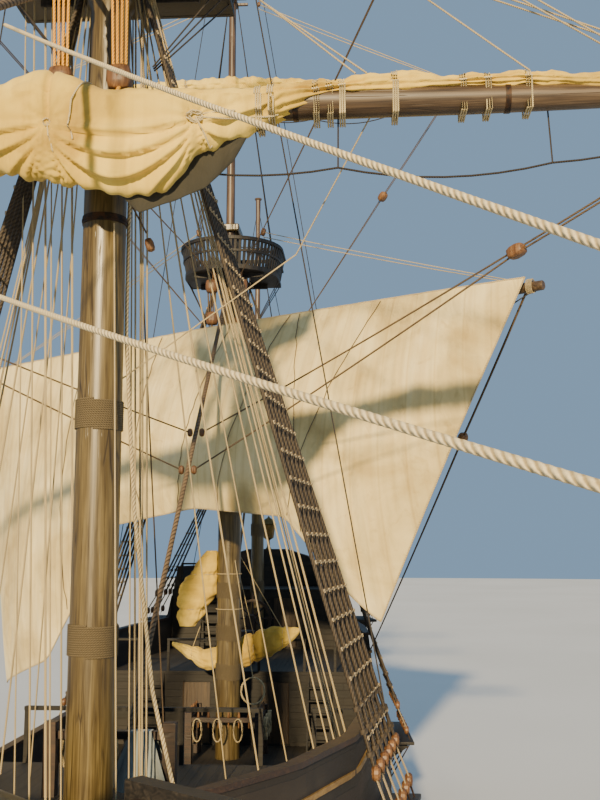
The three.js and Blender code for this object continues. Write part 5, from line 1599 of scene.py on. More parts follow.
    def build(self) -> None:
        """Builds the roll and its gaskets."""
        low, high = self.rows[0, 0], self.rows[-1, 0]
        stations = np.concatenate([np.arange(low, self.bunt[0], 0.06), np.arange(*self.bunt, 0.03),
                                   np.arange(self.bunt[1], high, 0.06), [high]])
        angles = np.arange(self.around) * TURN / self.around
        s, phi = np.meshgrid(stations, angles, indexing="ij")
        places, out = self.surface(s, phi)
        lift = self.folds(s, phi, places)
        close = np.clip(np.minimum(s - low, high - s) / 0.25, 0, 1)
        ahead, above, deep, _, _ = self.section(s)
        places = places + out * (np.maximum(lift, -0.6 * deep) * close)[..., None]
        middle = np.stack([self.yard.ahead + ahead, s, above], axis=-1)
        places = middle + (places - middle) * (0.25 + 0.75 * np.sqrt(close))[..., None]
        roll(self.name, s, np.append(angles, TURN) * 0.3, self.yard.world(places), "furled_canvas",
             self.yard.name,
             self.replaces)
        if self.bays:
            self._back_fold()
            self._bunt_lines()
        self._gaskets()

    def _gaskets(self) -> None:
        """Rope turns that hold the roll to its yard."""
        lines = []
        for place in self.gaskets:
            r = self.yard.radius(place) + 0.02
            for shift in (-0.03, 0.0, 0.03):
                phi = np.linspace(0, TURN, 37)
                skin = self._skin(place + shift + np.linspace(0, 0.02, 37), phi, 0.012)
                skin[..., 2] = np.where(np.sin(phi) < -0.3, np.minimum(skin[..., 2], -r), skin[..., 2])
                skin[..., 0] = np.where(np.cos(phi) < -0.5, np.minimum(skin[..., 0], self.yard.ahead - r),
                                        skin[..., 0])
                lines.append(Line([self.yard.at(*row) for row in skin], 0.012))
        rope(f"{self.name}_gaskets", lines, "gasket_rope", self.yard.name)


@dataclass
class SetCourse:
    """The main course, set: one blown sheet of sewn cloths with its bolt rope."""

    yard: YardPlan = MAIN_YARD
    head: float = 9.3
    above: float = 0.27
    belly: float = 1.45
    twist: float = 0.7
    thick: float = 0.008
    columns: int = 300
    rows: int = 130
    foot: tuple[tuple[float, float, float], ...] = (
        (-1, -8.5, 4.2), (-0.78, -6.7, 4.7), (-0.56, -4.8, 5.25), (-0.4, -3.3, 7.1), (-0.24, -2.0, 8.9),
        (0.1, 1.0, 9.3), (0.45, 3.8, 9.05), (0.62, 4.5, 8.3), (0.8, 5.1, 7.5), (1, 5.75, 6.7))

    def surface(self, share: np.ndarray, drop: np.ndarray) -> np.ndarray:
        """Places of the sail's middle surface in the yard's own space.

        Args:
            share: -1 at the starboard leech to 1 at the port leech.
            drop: 0 at the head to 1 at the foot.

        Returns:
            The places.
        """
        foot = np.array(self.foot)
        foot_y = eased(share, foot[:, 0], foot[:, 1], 0.03)
        foot_z = eased(share, foot[:, 0], foot[:, 2], 0.03) - self.yard.z
        y = self.head * share * (1 - drop) + foot_y * drop
        z = (self.above - 0.11 * np.abs(share)) * (1 - drop) + foot_z * drop
        x = self.yard.ahead + self.yard.mid + 0.012
        x = x + self.belly * np.sin(math.pi * np.minimum(1, 0.62 * drop + 0.02)) * (1 - 0.8 * share ** 4)
        x = x - np.where(share < 0, self.twist * share ** 2 * drop, 0)
        return np.stack([x, y, z], axis=-1)

    def _creases(self, share: np.ndarray, drop: np.ndarray, places: np.ndarray) -> np.ndarray:
        """How far the cloth stands out of its plain curve: wrinkles, folds, creases and puckers.

        Args:
            share: -1 at the starboard leech to 1 at the port leech.
            drop: 0 at the head to 1 at the foot.
            places: the plain curve there.

        Returns:
            The distances.
        """
        y, z = places[..., 1], places[..., 2]
        flat = np.stack([y, np.zeros_like(y), z], axis=-1)
        inner = np.clip(np.minimum(1 - np.abs(share), np.minimum(1 - drop, drop * 1.5)) * 12, 0, 1)
        lift = 0.085 * rough(flat, (0.75, 1.0, 0.16), 5.0) + 0.035 * rough(flat, (2.1, 1.0, 0.4), 8.3)
        lift += 0.012 * rough(flat, (5.5, 1.0, 1.1), 2.2)
        for clew, wander in ((places[-1, -1], rough(flat, (0.4, 1, 0.4), 1.0) * 2), (places[0, -1], 1.0)):
            across, above = y - clew[1], z - clew[2]
            folds = np.sin(np.arctan2(above, across) * 26 + wander)
            lift += 0.03 * folds * np.exp(-np.hypot(across, above) / 1.8)
        worn = np.clip((share - 0.4) * 4, 0, 1) * np.clip((drop - 0.1) * 5, 0, 1) * np.clip((0.95 - drop) * 4,
                                                                                            0, 1)
        lift += 0.012 * np.sin(TURN * (y / 0.2 + 0.5 * rough(flat, (0.8, 1.0, 0.3), 6.0))) * worn
        puckers = np.abs(np.sin(math.pi * self.head * share / CLOTH))
        return lift * inner + 0.02 * puckers * np.exp(-drop * 22)

    def build(self) -> None:
        """Builds the sheet, its ropes and the lashings along the head."""
        share, drop = np.meshgrid(np.linspace(-1, 1, self.columns), np.linspace(0, 1, self.rows),
                                  indexing="ij")
        places = self.surface(share, drop)
        uv = places[..., 1:].copy()
        places[..., 0] += self._creases(share, drop, places)
        world = self.yard.world(places)
        piece = thickened(grid_mesh("main_course_cloth", world, uv, False), self.thick)
        dress(piece, "main_course_cloth", "sail_canvas", self.yard.name, ("main_course",), 180.0)
        self._declare(piece, world)
        edges = [world[:, 0], world[-1, :], world[::-1, -1], world[0, ::-1]]
        lines = [Line([*edge[::3], edge[-1]], 0.017) for edge in edges]
        rope("main_course_bolt_rope", lines, "manila_rope", self.yard.name)
        lines, t, off = [], np.linspace(0.01, 0.98, 24), np.array(self.yard.place())[:3, 0] * 0.03
        for start, end in ((0.12, 0.04), (0.33, 0.2), (0.36, 0.56), (0.62, 0.47), (-0.15, -0.1),
                           (-0.5, -0.45)):
            column = np.round((start + (end - start) * t + 1) / 2 * (self.columns - 1)).astype(int)
            row = np.round(t * (self.rows - 1)).astype(int)
            lines.append(Line(world[column, row] + off, 0.009))
        rope("main_course_buntlines", lines, "brown_rope", self.yard.name, 5)
        self._robands()

    @staticmethod
    def _declare(piece: Piece, world: np.ndarray) -> None:
        """Args:
            piece: the cloth; not used.
            world: its places, columns by rows.
        """
        across, down = np.diff(world, axis=0)[:, :-1], np.diff(world, axis=1)[:-1, :]
        width = float(np.linalg.norm(across, axis=-1).sum(axis=0).max())
        length = float(np.linalg.norm(down, axis=-1).sum(axis=1).max())
        area = float(np.linalg.norm(np.cross(across, down), axis=-1).sum())
        LOG.info("main course: %.1f square metres, %.2f wide", area, width)

    def _robands(self) -> None:
        """The lashings of the head round the yard, doubled up at both earings."""
        bands = []
        for place in (*np.arange(-9.1, 9.2, CLOTH), *(s * y for s in (-1, 1) for y in (9.26, 9.31, 9.36))):
            r = self.yard.radius(place) + 0.012
            for shift in (0.0, 0.025):
                loop = []
                for a in np.arange(17) * TURN / 16:
                    out = r + (0.05 if math.cos(a) > 0.2 else 0.0)
                    loop.append(self.yard.at(self.yard.ahead + out * math.cos(a), place + shift,
                                             out * math.sin(a)))
                bands.append(Line(loop, 0.009))
        rope("main_course_robands", bands, "manila_rope", self.yard.name, 5)


FURLED_COURSE = np.array([
    (-8.7, 0.03, 0.08, 0.08, 0.08, 0.05), (-6.7, 0.05, 0.17, 0.14, 0.09, 0.08),
                          (-4.7, 0.05, 0.19, 0.15, 0.12, 0.11),
    (-3.3, 0.06, 0.15, 0.19, 0.14, 0.12), (-2.6, 0.13, 0.0, 0.25, 0.19, 0.32),
                          (-2.0, 0.2, -0.06, 0.32, 0.2, 0.62),
    (-1.2, 0.24, -0.1, 0.4, 0.265, 0.83), (-0.45, 0.24, 0.0, 0.4, 0.46, 1.08),
                          (0.3, 0.24, -0.1, 0.4, 0.19, 1.15),
    (0.75, 0.26, -0.1, 0.37, 0.18, 1.2), (1.1, 0.27, -0.1, 0.35, 0.17, 1.15),
                          (1.5, 0.26, -0.08, 0.32, 0.145, 0.68),
    (2.15, 0.18, -0.06, 0.3, 0.165, 0.4), (2.45, 0.12, 0.0, 0.24, 0.17, 0.3),
                          (2.8, 0.08, 0.07, 0.2, 0.165, 0.195),
    (3.4, 0.06, 0.14, 0.18, 0.125, 0.1), (4.1, 0.06, 0.19, 0.16, 0.195, 0.195),
                          (4.7, 0.05, 0.19, 0.14, 0.095, 0.09),
    (5.8, 0.05, 0.225, 0.14, 0.105, 0.1), (6.7, 0.05, 0.17, 0.14, 0.08, 0.08),
                          (8.7, 0.03, 0.08, 0.08, 0.08, 0.05)])
FORE_BAYS = ((-0.42, 1.5, -0.4, -0.36, 0.24, 0.13), (-2.3, -0.42, -0.3, -0.4, 0.24, 0.1),
             (1.5, 2.7, -0.36, 0.1, 0.2, 0.08))
GATHERS = ((-0.42, -0.4), (1.5, -0.36))
COURSE_GASKETS = (-6.9, -5.6, -4.3, -3.1, 2.28, 2.44, 3.02, 3.2, 3.36, 4.05, 4.93, 5.25, 5.77, 6.9, 7.9)
TOPSAIL_GASKETS = (-4.8, -3.6, -2.4, -1.2, 1.2, 2.4, 3.6, 4.8)
FURLED_TOPSAIL = np.array([
    (-6.0, 0.02, 0.05, 0.06, 0.055, 0.04), (-2.5, 0.05, 0.08, 0.15, 0.14, 0.1),
                           (-0.8, 0.08, 0.07, 0.23, 0.23, 0.2),
    (0.0, 0.09, 0.06, 0.25, 0.27, 0.28), (0.8, 0.08, 0.07, 0.23, 0.23, 0.2),
                           (2.5, 0.05, 0.08, 0.15, 0.14, 0.1),
    (6.0, 0.02, 0.05, 0.06, 0.055, 0.04)])


@dataclass
class MizzenGaff:
    """The mizzen gaff with its sail brailed up below it."""

    start: Point = (-11.33, 0.0, 11.2)
    length: float = 5.0
    rise: float = 40.0
    ties: tuple[float, ...] = (0.9, 1.8, 2.7, 3.6)
    places: tuple[float, ...] = (0.25, 0.9, 2.2, 4.7)
    sizes: tuple[float, ...] = (0.09, 0.15, 0.2, 0.08)

    def build(self) -> None:
        """Builds the spar, its jaws, the rolled sail, its ties and the halyards."""
        lean = math.radians(self.rise)
        way, over = Vector((-math.cos(lean), 0, math.sin(lean))), Vector((math.sin(lean), 0, math.cos(lean)))
        self._spar(along(self.start, tuple(Vector(self.start) + way * self.length)))
        self._sail(np.array(way), np.array(over))
        for k, at in enumerate((2.4, 4.6)):
            head = (MIZZEN.x - 0.2, 0.0, MIZZEN.hounds + 1.7)
            lead(f"mizzen_gaff_halyard_{k}", Line([head, tuple(Vector(self.start) + way * at)], 0.012),
                 "brown_rope", "mizzen_gaff")

    def _spar(self, place: Matrix) -> None:
        """The spar with its collar and chock on the mast.

        Args:
            place: the spar's own axis.
        """
        spar = turned([(0.0, 0.09), (0.03, 0.105), (2.5, 0.092), (4.96, 0.065), (5.0, 0.05)], 32, place)
        r, height = MIZZEN.radius(self.start[2]), self.start[2]
        here = Matrix.Translation((MIZZEN.x, 0, height))
        collar = ring(r + 0.012, r + 0.06, -0.13, 0.13, 32, here)
        chock = plank((-r - 0.2, -0.09, -0.1), (-r - 0.03, 0.09, 0.1), 0.02, here)
        dress(joined([spar, collar, chock]), "mizzen_gaff_spar", "topmast_varnish", "mizzen_gaff",
              ("mizzen_gaff",))

    def _sail(self, way: np.ndarray, over: np.ndarray) -> None:
        """The rolled sail and its ties.

        Args:
            way: the direction along the spar.
            over: the direction square to it, upwards.
        """
        first, last = self.places[0], self.places[-1]
        angles = np.arange(72) * TURN / 72
        s, phi = np.meshgrid(np.linspace(first, last, 120), angles, indexing="ij")
        plain = np.interp(s, self.places, self.sizes)
        ridges = 1 + 0.08 * np.sin(TURN * (s / 0.4 + phi / 3)) + 0.07 * np.sin(7 * phi + 4 * s)
        for tie in self.ties:
            ridges -= 0.28 * np.exp(-((s - tie) / 0.07) ** 2)
        size = plain * ridges * np.clip(np.minimum(s - first, last - s) / 0.2, 0.1, 1) ** 0.5
        down = size * np.sin(phi) * 1.15 - 0.1 - plain
        places = np.array(self.start) + s[..., None] * way + down[..., None] * over
        places[..., 1] += size * np.cos(phi)
        roll("mizzen_sail_roll", s, np.append(angles, TURN) * 0.2, places, "furled_canvas", "mizzen_gaff",
             "mizzen_sail")
        lines = []
        for tie in self.ties:
            middle = np.array(self.start) + tie * way - 0.17 * over
            lines.append(Line([middle + np.array((0, 0.17 * math.cos(a), 0)) + 0.29 * math.sin(a) * over
                               for a in np.linspace(0, TURN, 25)], 0.01))
        rope("mizzen_sail_ties", lines, "manila_rope", "mizzen_gaff")


@dataclass
class ShroudGang:
    """One side's shrouds with channel, deadeyes, lanyards, ratlines and knots."""

    mast: MastPlan
    side: int
    word: str
    rung: float = 0.38

    def build(self) -> None:
        """Builds the gang."""
        m, side = self.mast, self.side
        feet, heads = [], []
        for i in range(m.shrouds):
            x = m.x - 0.3 - i * m.spread
            feet.append(np.array((x, side * (hull_half(x, m.channel) + m.out - 0.09), m.channel + 0.08)))
            heads.append(np.array((m.x - 0.1 + 0.06 - 0.024 * i, side * (m.neck + 0.085), m.hounds + 0.12)))
        self._shrouds(feet, heads)
        self._channel()

    @property
    def name(self) -> str:
        """The gang's name."""
        return f"{self.mast.name}_{self.word}"

    def _shrouds(self, feet: list[np.ndarray], heads: list[np.ndarray]) -> None:
        """The shrouds with deadeyes, lanyards, chain plates, ratlines and knots.

        Args:
            feet: where each shroud meets its channel.
            heads: where it goes round the masthead.
        """
        m, side = self.mast, self.side
        lines, thin, eyes, straps = [], [], [], []
        twin = np.array((0.045, 0, 0))
        for foot, head in zip(feet, heads):
            way = (head - foot) / np.linalg.norm(head - foot)
            low, high = foot + way * 0.28, foot + way * 0.95
            lines += [Line([high - way * 0.12, head], 0.03),
                      Line([high + way * 0.1 + twin, high + way * 0.9 + twin], 0.022)]
            for at in (0.25, 0.55, 0.85):
                spot = high + way * at + np.array((0.022, 0, 0))
                lines.append(Line([spot - way * 0.03, spot + way * 0.03], 0.056))
            for shift in (-0.06, -0.02, 0.02, 0.06):
                thin.append(Line([low + np.array((shift, 0, 0.06)), high + np.array((shift, 0, -0.06))],
                                 0.012))
            eyes += [Matrix.Translation(c) @ Matrix.Rotation(side * math.pi / 2, 4, "X") for c in (low, high)]
            straps.append(Line([low - way * 0.1, foot - way * 0.05,
                                (foot[0], side * (hull_half(foot[0], m.channel - 0.9) + 0.03),
                                 m.channel - 0.9)], 0.016))
        out = np.array((0, side * 0.028, 0))
        for level in np.arange(max(f[2] for f in feet) + 1.35, m.hounds - 0.5, self.rung):
            points = [f + (h - f) * (level - f[2]) / (h[2] - f[2]) for f, h in zip(feet, heads)]
            droop = [points[0] + out]
            for a, b in zip(points, points[1:]):
                droop += [(a + b) / 2 + out - np.array((0, 0, 0.012)), b + out]
            thin.append(Line(droop, 0.011))
            for p in points:
                thin.append(Line([p + out * 0.9 + np.array((0, 0, z)) for z in (-0.026, 0.026)], 0.024))
        around = [(m.x + (m.head + 0.15) * math.cos(a) * 1.1, side * (abs(math.sin(a)) * (m.neck + 0.085)),
                   heads[0][2] + 0.05) for a in np.linspace(-0.2, math.pi + 0.2, 18)]
        rope(f"{self.name}_shroud_ropes", [*lines, Line(around, 0.05)], "shroud_rope", sides=8,
             replaces=(f"{m.name}_shrouds_{self.word}",))
        rope(f"{self.name}_ratlines", thin, "ratline_rope", sides=5)
        rope(f"{self.name}_chain_plates", straps, "forged_iron")
        dress(copies(self._deadeye(), eyes), f"{self.name}_deadeyes", "block_ash", "ship")

    @staticmethod
    def _deadeye() -> Piece:
        """A round grooved block with three sunk holes.

        Returns:
            The object, at the origin.
        """
        deselect()
        bpy.ops.mesh.primitive_cylinder_add(vertices=14, radius=0.11, depth=0.11)
        parts = [bpy.context.object]
        edit()
        bpy.ops.mesh.bevel(offset=0.028, segments=1)
        bpy.ops.object.mode_set(mode="OBJECT")
        for a in (-0.6, 0.6, math.pi / 2):
            bpy.ops.mesh.primitive_cylinder_add(vertices=6, radius=0.02, depth=0.118,
                                                location=(0.05 * math.sin(a), 0.05 * math.cos(a), 0))
            parts.append(bpy.context.object)
        return joined(parts)

    def _channel(self) -> None:
        """The plank that holds the shrouds off the hull's side, on its knees."""
        m, side = self.mast, self.side
        start, end = m.x - 0.3 + 0.22, m.x - 0.3 - (m.shrouds - 1) * m.spread - 0.22
        z = m.channel
        deselect()
        bpy.ops.mesh.primitive_cube_add(size=1, location=((start + end) / 2, 0, z + 0.04))
        piece = bpy.context.object
        piece.scale = (start - end, 1, 0.08)
        bpy.ops.object.transform_apply(location=True, rotation=False, scale=True)
        for vertex in piece.data.vertices:
            half = hull_half(vertex.co.x, z)
            vertex.co.y = side * (half + m.out if vertex.co.y > 0 else half - 0.02)
        edit(piece)
        outwards()
        bpy.ops.mesh.bevel(offset=0.015, segments=2)
        pieces = [settle(piece)]
        for i in range(3):
            x = start - 0.3 - i * (start - end - 0.6) / 2
            half = hull_half(x, z)
            knee = plank((x - 0.05, 0, -0.5), (x + 0.05, 1, -0.0005), 0.01)
            for vertex in knee.data.vertices:
                inside = vertex.co.y < 0.5
                vertex.co.y = side * (half - 0.03 if inside else half + m.out * 0.8)
                vertex.co.z = z - 0.0005 if vertex.co.z > -0.25 else (z - 0.5 if inside else z - 0.1)
            edit(knee)
            outwards()
            pieces.append(settle(knee))
        dress(joined(pieces), f"{self.name}_channel_plank", "tarred_long", "ship")


@dataclass
class Stay:
    """A stay: two legs round the masthead that meet in one heavy rope, set up at its foot."""

    mast: MastPlan
    foot: Point

    def build(self) -> None:
        """Builds the stay."""
        m = self.mast
        joint, lines = (m.x + 0.95, 0.0, m.hounds - 0.505), []
        for side in (-1, 1):
            over = side * (m.topmast + m.neck - 0.02) / 2
            lines.append(Line([(m.x - m.head - 0.12, side * 0.05, m.hounds + 0.26),
                               (m.x + 0.05, side * (m.head + m.stay + 0.02), m.hounds + 0.23),
                               (m.x + 0.3, over, m.hounds - 0.04), (m.x + 0.6, over, m.hounds - 0.25),
                               (joint[0], side * 0.012, joint[2])], m.stay * 0.85))
        start, end = np.array(joint), np.array(self.foot)
        way = (end - start) / np.linalg.norm(end - start)
        heart = end - way * 0.55
        lines.append(Line([start - way * 0.05, heart], m.stay))
        for spot in (*(start + way * at for at in (0.1, 0.35, 0.6)),
                     *(heart - way * at for at in (0.35, 0.7))):
            lines.append(Line([spot, spot + way * 0.08], m.stay + 0.014))
        for across in (np.array((0.0, 0.024 * k, 0.0)) for k in range(-2, 3)):
            lines.append(Line([heart + across, end + across - way * 0.02], 0.013))
        lines += [Line([end - way * 0.12, end + way * 0.02], m.stay * 1.25),
                  Line([heart - way * 0.1, heart + way * 0.06], m.stay * 1.35)]
        rope(f"{m.name}_stay_rope", lines, "brown_rope", sides=10, replaces=(f"{m.name}_stay",))


def topmast_stays() -> None:
    """The stays of the topmasts."""
    lines = []
    for mast, foot, radius, steps in (
            (FORE, bowsprit_at(23.3, 0.16), 0.022, 16), (MAIN, (FORE.x - 0.3, 0, FORE.hounds + 1.2), 0.022,
                                                         16),
            (MIZZEN, (MAIN.x - 0.3, 0, MAIN.hounds + 1.1), 0.017, 12)):
        head = (mast.x + TOPMAST_AHEAD + 0.12, 0, mast.crosstrees + 0.12)
        lines.append(Line([head, foot], radius, 0.004, steps))
    rope("topmast_stay_ropes", lines, "brown_rope", sides=7)


def block(size: float, sheaves: int = 1) -> Piece:
    """A rounded wooden block with its sheaves and rope strop.

    Args:
        size: its width across the rope.
        sheaves: how many sheaves it has.

    Returns:
        The object, at the origin.
    """
    deselect()
    bpy.ops.mesh.primitive_cube_add(size=1)
    parts = [bpy.context.object]
    parts[0].scale = (size * 0.75, size * (0.38 + 0.2 * sheaves), size * 1.15)
    bpy.ops.object.transform_apply(location=False, rotation=False, scale=True)
    edit()
    bpy.ops.mesh.subdivide(number_cuts=2)
    bpy.ops.transform.tosphere(value=0.55)
    bpy.ops.mesh.bevel(offset=size * 0.03, segments=1)
    bpy.ops.object.mode_set(mode="OBJECT")
    for k in range(sheaves):
        y = (k - (sheaves - 1) / 2) * size * 0.24
        bpy.ops.mesh.primitive_cylinder_add(vertices=14, radius=size * 0.43, depth=size * 0.1,
                                            location=(0, y, 0),
                                            rotation=(math.pi / 2, 0, 0))
        parts.append(bpy.context.object)
    bpy.ops.mesh.primitive_torus_add(major_radius=size * 0.6, minor_radius=size * 0.07, major_segments=20,
                                     minor_segments=6, rotation=(math.pi / 2, 0, 0))
    strop = bpy.context.object
    strop.scale = (0.72, 1, 1.08)
    return joined([*parts, strop])


@dataclass
class Blocks:
    """Wooden blocks of one size on one body."""

    name: str
    body: str
    size: float
    spots: list[tuple[Point, Point]]
    sheaves: int = 1
    follows: Point = ()

    def build(self) -> None:
        """Builds the blocks, each along its own rope's direction; some hang between the ship and a spar."""
        places = [aimed(centre, way) for centre, way in self.spots]
        piece = dress(copies(block(self.size, self.sheaves), places), self.name, "block_ash", self.body)
        if self.follows:
            end = Vector(self.follows)
            hang(piece, self.body, end + (Vector(self.spots[0][0]) - end) / PENDANT, end)


@dataclass
class Sight:
    """The photograph's camera, to set ropes where it shows them."""

    studio: Studio
    focal: float = 1000.0
    width: float = 600.0
    height: float = 800.0

    def at_x(self, column: float, row: float, x: float) -> Point:
        """The place behind a point of the frame that lies at one distance along the ship.

        Args:
            column: pixels from the frame's left edge.
            row: pixels from its top.
            x: the distance along the ship.

        Returns:
            The place.
        """
        ahead, eye, turn = self.studio.ahead(), Vector(self.studio.eye), math.radians(self.studio.heading)
        right = Vector((-math.sin(turn), math.cos(turn), 0))
        way = (ahead + right * ((column - self.width / 2) / self.focal)
               - right.cross(ahead) * ((row - self.height / 2) / self.focal))
        return tuple(eye + way * ((x - eye.x) / way.x))


@dataclass
class JeerTackles:
    """The tackles that carry a lower yard below its top."""

    yard: YardPlan
    mast: MastPlan
    finish: str = "yellow_rope"
    above: float = 0.4

    def build(self) -> None:
        """Builds the falls and their blocks."""
        p, m = self.yard, self.mast
        lines, spots = [], []
        ahead, high, low = p.x + p.ahead, m.hounds - 0.42, p.z + self.above
        for y in (-0.4, 0.4):
            top, foot = (m.x + 1.1, y, high), (ahead + 0.06, y, low)
            for shift in (0.07 * (k - 1.5) for k in range(4)):
                lines.append(Line([(top[0], y + shift, high), (foot[0], y + shift * 0.8, low)], 0.021))
            lines.append(Line([top, (m.x + 0.8, 0.95 * y, m.hounds + 0.1)], 0.026))
            spots += [(top, (0, 0, 1)), (foot, (0, 0, 1))]
            strop = [(ahead + 0.27 * math.cos(a), y + 0.02 * math.sin(2 * a), p.z + 0.27 * math.sin(a))
                     for a in np.linspace(0.4, TURN - 0.2, 22)]
            lines.append(Line([*strop, (foot[0], y, low - 0.1)], 0.03))
        rope(f"{p.name}_jeers", lines, self.finish, sides=7)
        Blocks(f"{p.name}_jeer_blocks", "ship", 0.3, spots, 3).build()


def braces() -> None:
    """The braces: a pendant with a block hangs from each yardarm, and two falls lead from it to the ship."""
    for plan, led, apart in (
            (FORE_YARD, (1.85, 0.13, 10.81), (0.96, -0.88)),
            (MAIN_YARD, (-8.6, hull_half(-8.6, 5.0) + 0.06, 5.0), (0.12, 0.0)),
            (FORE_TOPSAIL_YARD, (MAIN.x + 1.0, 0.35, 15.58), (0.0, 0.0)),
            (MAIN_TOPSAIL_YARD, (MIZZEN.x + TOPMAST_AHEAD + 0.02, 0.12, 13.9), (0.0, 0.0))):
        for side, word in SIDES:
            starts = [Vector((led[0] + k * apart[0], side * led[1], led[2] + k * apart[1])) for k in range(2)]
            end = Vector(plan.at(plan.ahead - plan.tip, side * plan.half * 0.955, 0.0))
            middle = starts[0].lerp(starts[1], 0.5)
            hung = end.lerp(middle, PENDANT)
            for k, start in enumerate(starts):
                drop = Vector((0, 0, -0.06 * k))
                line = Line([start, hung + drop, end + drop], 0.016 if plan.lower else 0.012, 0.006, 14)
                lead(f"{plan.name}_brace_{word}_{k}", line, "brown_rope", plan.name)
            Blocks(f"{plan.name}_brace_block_{word}", plan.name, 0.26,
                   [(hung + Vector((0, 0, -0.03)), end - middle)], follows=end).build()
            Blocks(f"{plan.name}_brace_lead_{word}", "ship", 0.15, [(s, (0, 0, 1)) for s in starts]).build()


@dataclass
class Hawsers:
    """Two heavy three-strand ropes a side that hold the spritsail yard's arm."""

    sight: Sight

    def build(self) -> None:
        """Builds the ropes, the port pair where the photograph shows them."""
        arm = SPRITSAIL_YARD.at(0.0, 6.35, 0.13)
        tops = ((self.sight.at_x(5, 25, 14.05), 0.019), (self.sight.at_x(0, 297, 15.5), 0.022))
        for side, word in SIDES:
            for k, ((x, y, z), radius) in enumerate(tops):
                line = Line([(x, side * abs(y), z), (arm[0], side * arm[1], arm[2] + 0.04 * k)], radius,
                            0.006, 16)
                line.points, line.steps = evenly(line.path(), radius * STRAND_STEP), 1
                lead(f"hawser_{word}_{k}", line, "hawser_rope", "spritsail_yard", 12, True)


@dataclass
class HullSkin:
    """The planked hull, its rails, mouldings, hawse holes and stern windows."""

    def build(self) -> None:
        """Dresses the hull's solids and adds what is on them."""
        dress(smooth_copy("hull"), "hull_planking", "hull_planks", "ship", ("hull",), 30.0)
        dress(smooth_copy("keel_and_stem"), "keel_timbers", "tarred_long", "ship",
              ("keel_and_stem",), 30.0)
        self._cap_rails()
        self._mouldings()
        self._stern()

    @staticmethod
    def _strip(rows: list[tuple[float, float]], wide: float, deep: float, lift: float) -> list[Piece]:
        """A squared rail along both sides of the hull.

        Args:
            rows: places along the ship with the height of the rail's foot there.
            wide: width across.
            deep: height.
            lift: how far it stands out of the hull's side.

        Returns:
            The port and the starboard rail.
        """
        made = []
        for side in (1, -1):
            columns = []
            for x, z in rows:
                outer = hull_half(x, z) + lift
                corners = ((outer, z), (outer, z + deep), (outer - wide, z + deep), (outer - wide, z))
                columns.append([(x, side * y, up) for y, up in corners])
            made.append(grid_mesh("rail", np.array(columns), np.zeros((len(rows), 5, 2)), True))
        return made

    def _cap_rails(self) -> None:
        """Cap rails on the bulwarks."""
        pieces = []
        for z, a, b, parts in ((5.851, 6.62, 13.5, 22), (4.101, -4.7, 5.5, 22), (5.901, -11.1, -5.52, 12),
                               (7.601, -14.38, -11.62, 8)):
            pieces += self._strip([(x, z) for x in np.linspace(a, b, parts)], 0.2, 0.07, 0.04)
        dress(joined(pieces), "cap_rails", "red_athwart", "ship")

    def _mouldings(self) -> None:
        """Painted mouldings along the topsides and the hawse holes."""
        pieces = []
        for z, a, b in ((3.72, -14.3, 13.3), (5.42, -14.3, -5.5), (5.42, 6.7, 13.3), (6.9, -14.3, -11.7)):
            pieces += self._strip([(x, z) for x in np.linspace(a, b, max(6, int((b - a) / 0.45)))], 0.08,
                                  0.07, 0.028)
        dress(joined(pieces), "side_mouldings", "ochre_trim", "ship")
        rings = []
        for side in (1, -1):
            for shift in (0.55, 0.95):
                x = 13.36 - 0.25 * (shift - 0.55)
                centre = (x - 0.02 + 0.3 * (1 - shift), side * hull_half(x, 3.1) * (0.55 + 0.3 * shift), 3.1)
                rings.append(ring(0.11, 0.2, -0.12, 0.06, 20, aimed(centre, (1.0, side * 0.42, 0.0))))
        dress(joined(rings), "hawse_bolsters", "tarred_long", "ship")

    def _stern(self) -> None:
        """Windows, frames and pilasters of the stern gallery, and the taffrail's edge."""
        panes, frames = [], []
        rows = [(2.75, 3.95, 5, 2.55), (4.55, 5.65, 4, 2.15)]
        levels = [1.45, 2.35, 4.2, 5.9, 7.35, 8.0, 8.25]
        reach = [0.12, 0.62, 0.74, 0.86, 0.96, 1.0, 1.015]
        for low, high, count, span in rows:
            for i in range(count):
                y = -span + 0.42 + (2 * span - 0.84) * i / (count - 1)
                half = 0.3
                aft = -14.4 - float(np.interp((low + high) / 2, levels, reach))
                lean = math.atan2(float(np.interp(high, levels, reach) - np.interp(low, levels, reach)),
                                  high - low)
                place = Matrix.Translation((aft, y, (low + high) / 2)) @ Matrix.Rotation(-lean, 4, "Y")
                tall = (high - low) / 2
                panes.append(plank((-0.012, -half, -tall), (0.02, half, tall), 0.002, place))
                for a, b in ((-half - 0.06, -half), (half, half + 0.06)):
                    frames.append(plank((-0.04, a, -tall - 0.06), (0.02, b, tall + 0.06), 0.008, place))
                for a, b in ((-tall - 0.06, -tall), (tall, tall + 0.06)):
                    frames.append(plank((-0.04, -half - 0.06, a), (0.02, half + 0.06, b), 0.008, place))
                for y0 in (-0.1, 0.1):
                    frames.append(plank((-0.022, y0 - 0.01, -tall), (0.02, y0 + 0.01, tall), 0.003, place))
                for z0 in (-0.3, 0.0, 0.3):
                    frames.append(plank((-0.022, -half, z0 * tall * 1.7 - 0.01),
                                        (0.02, half, z0 * tall * 1.7 + 0.01),
                                        0.003, place))
        dress(joined(panes), "stern_panes", "window_glass", "ship")
        dress(joined(frames), "stern_window_frames", "ochre_trim", "ship")
        bands = []
        for z, half in ((2.4, 3.0), (4.2, 2.95), (5.9, 2.6), (7.3, 2.32)):
            aft = -14.4 - float(np.interp(z, levels, reach))
            bands.append(plank((aft - 0.05, -half, z - 0.06), (aft + 0.03, half, z + 0.06), 0.02))
        dress(joined(bands), "stern_mouldings", "ochre_trim", "ship")


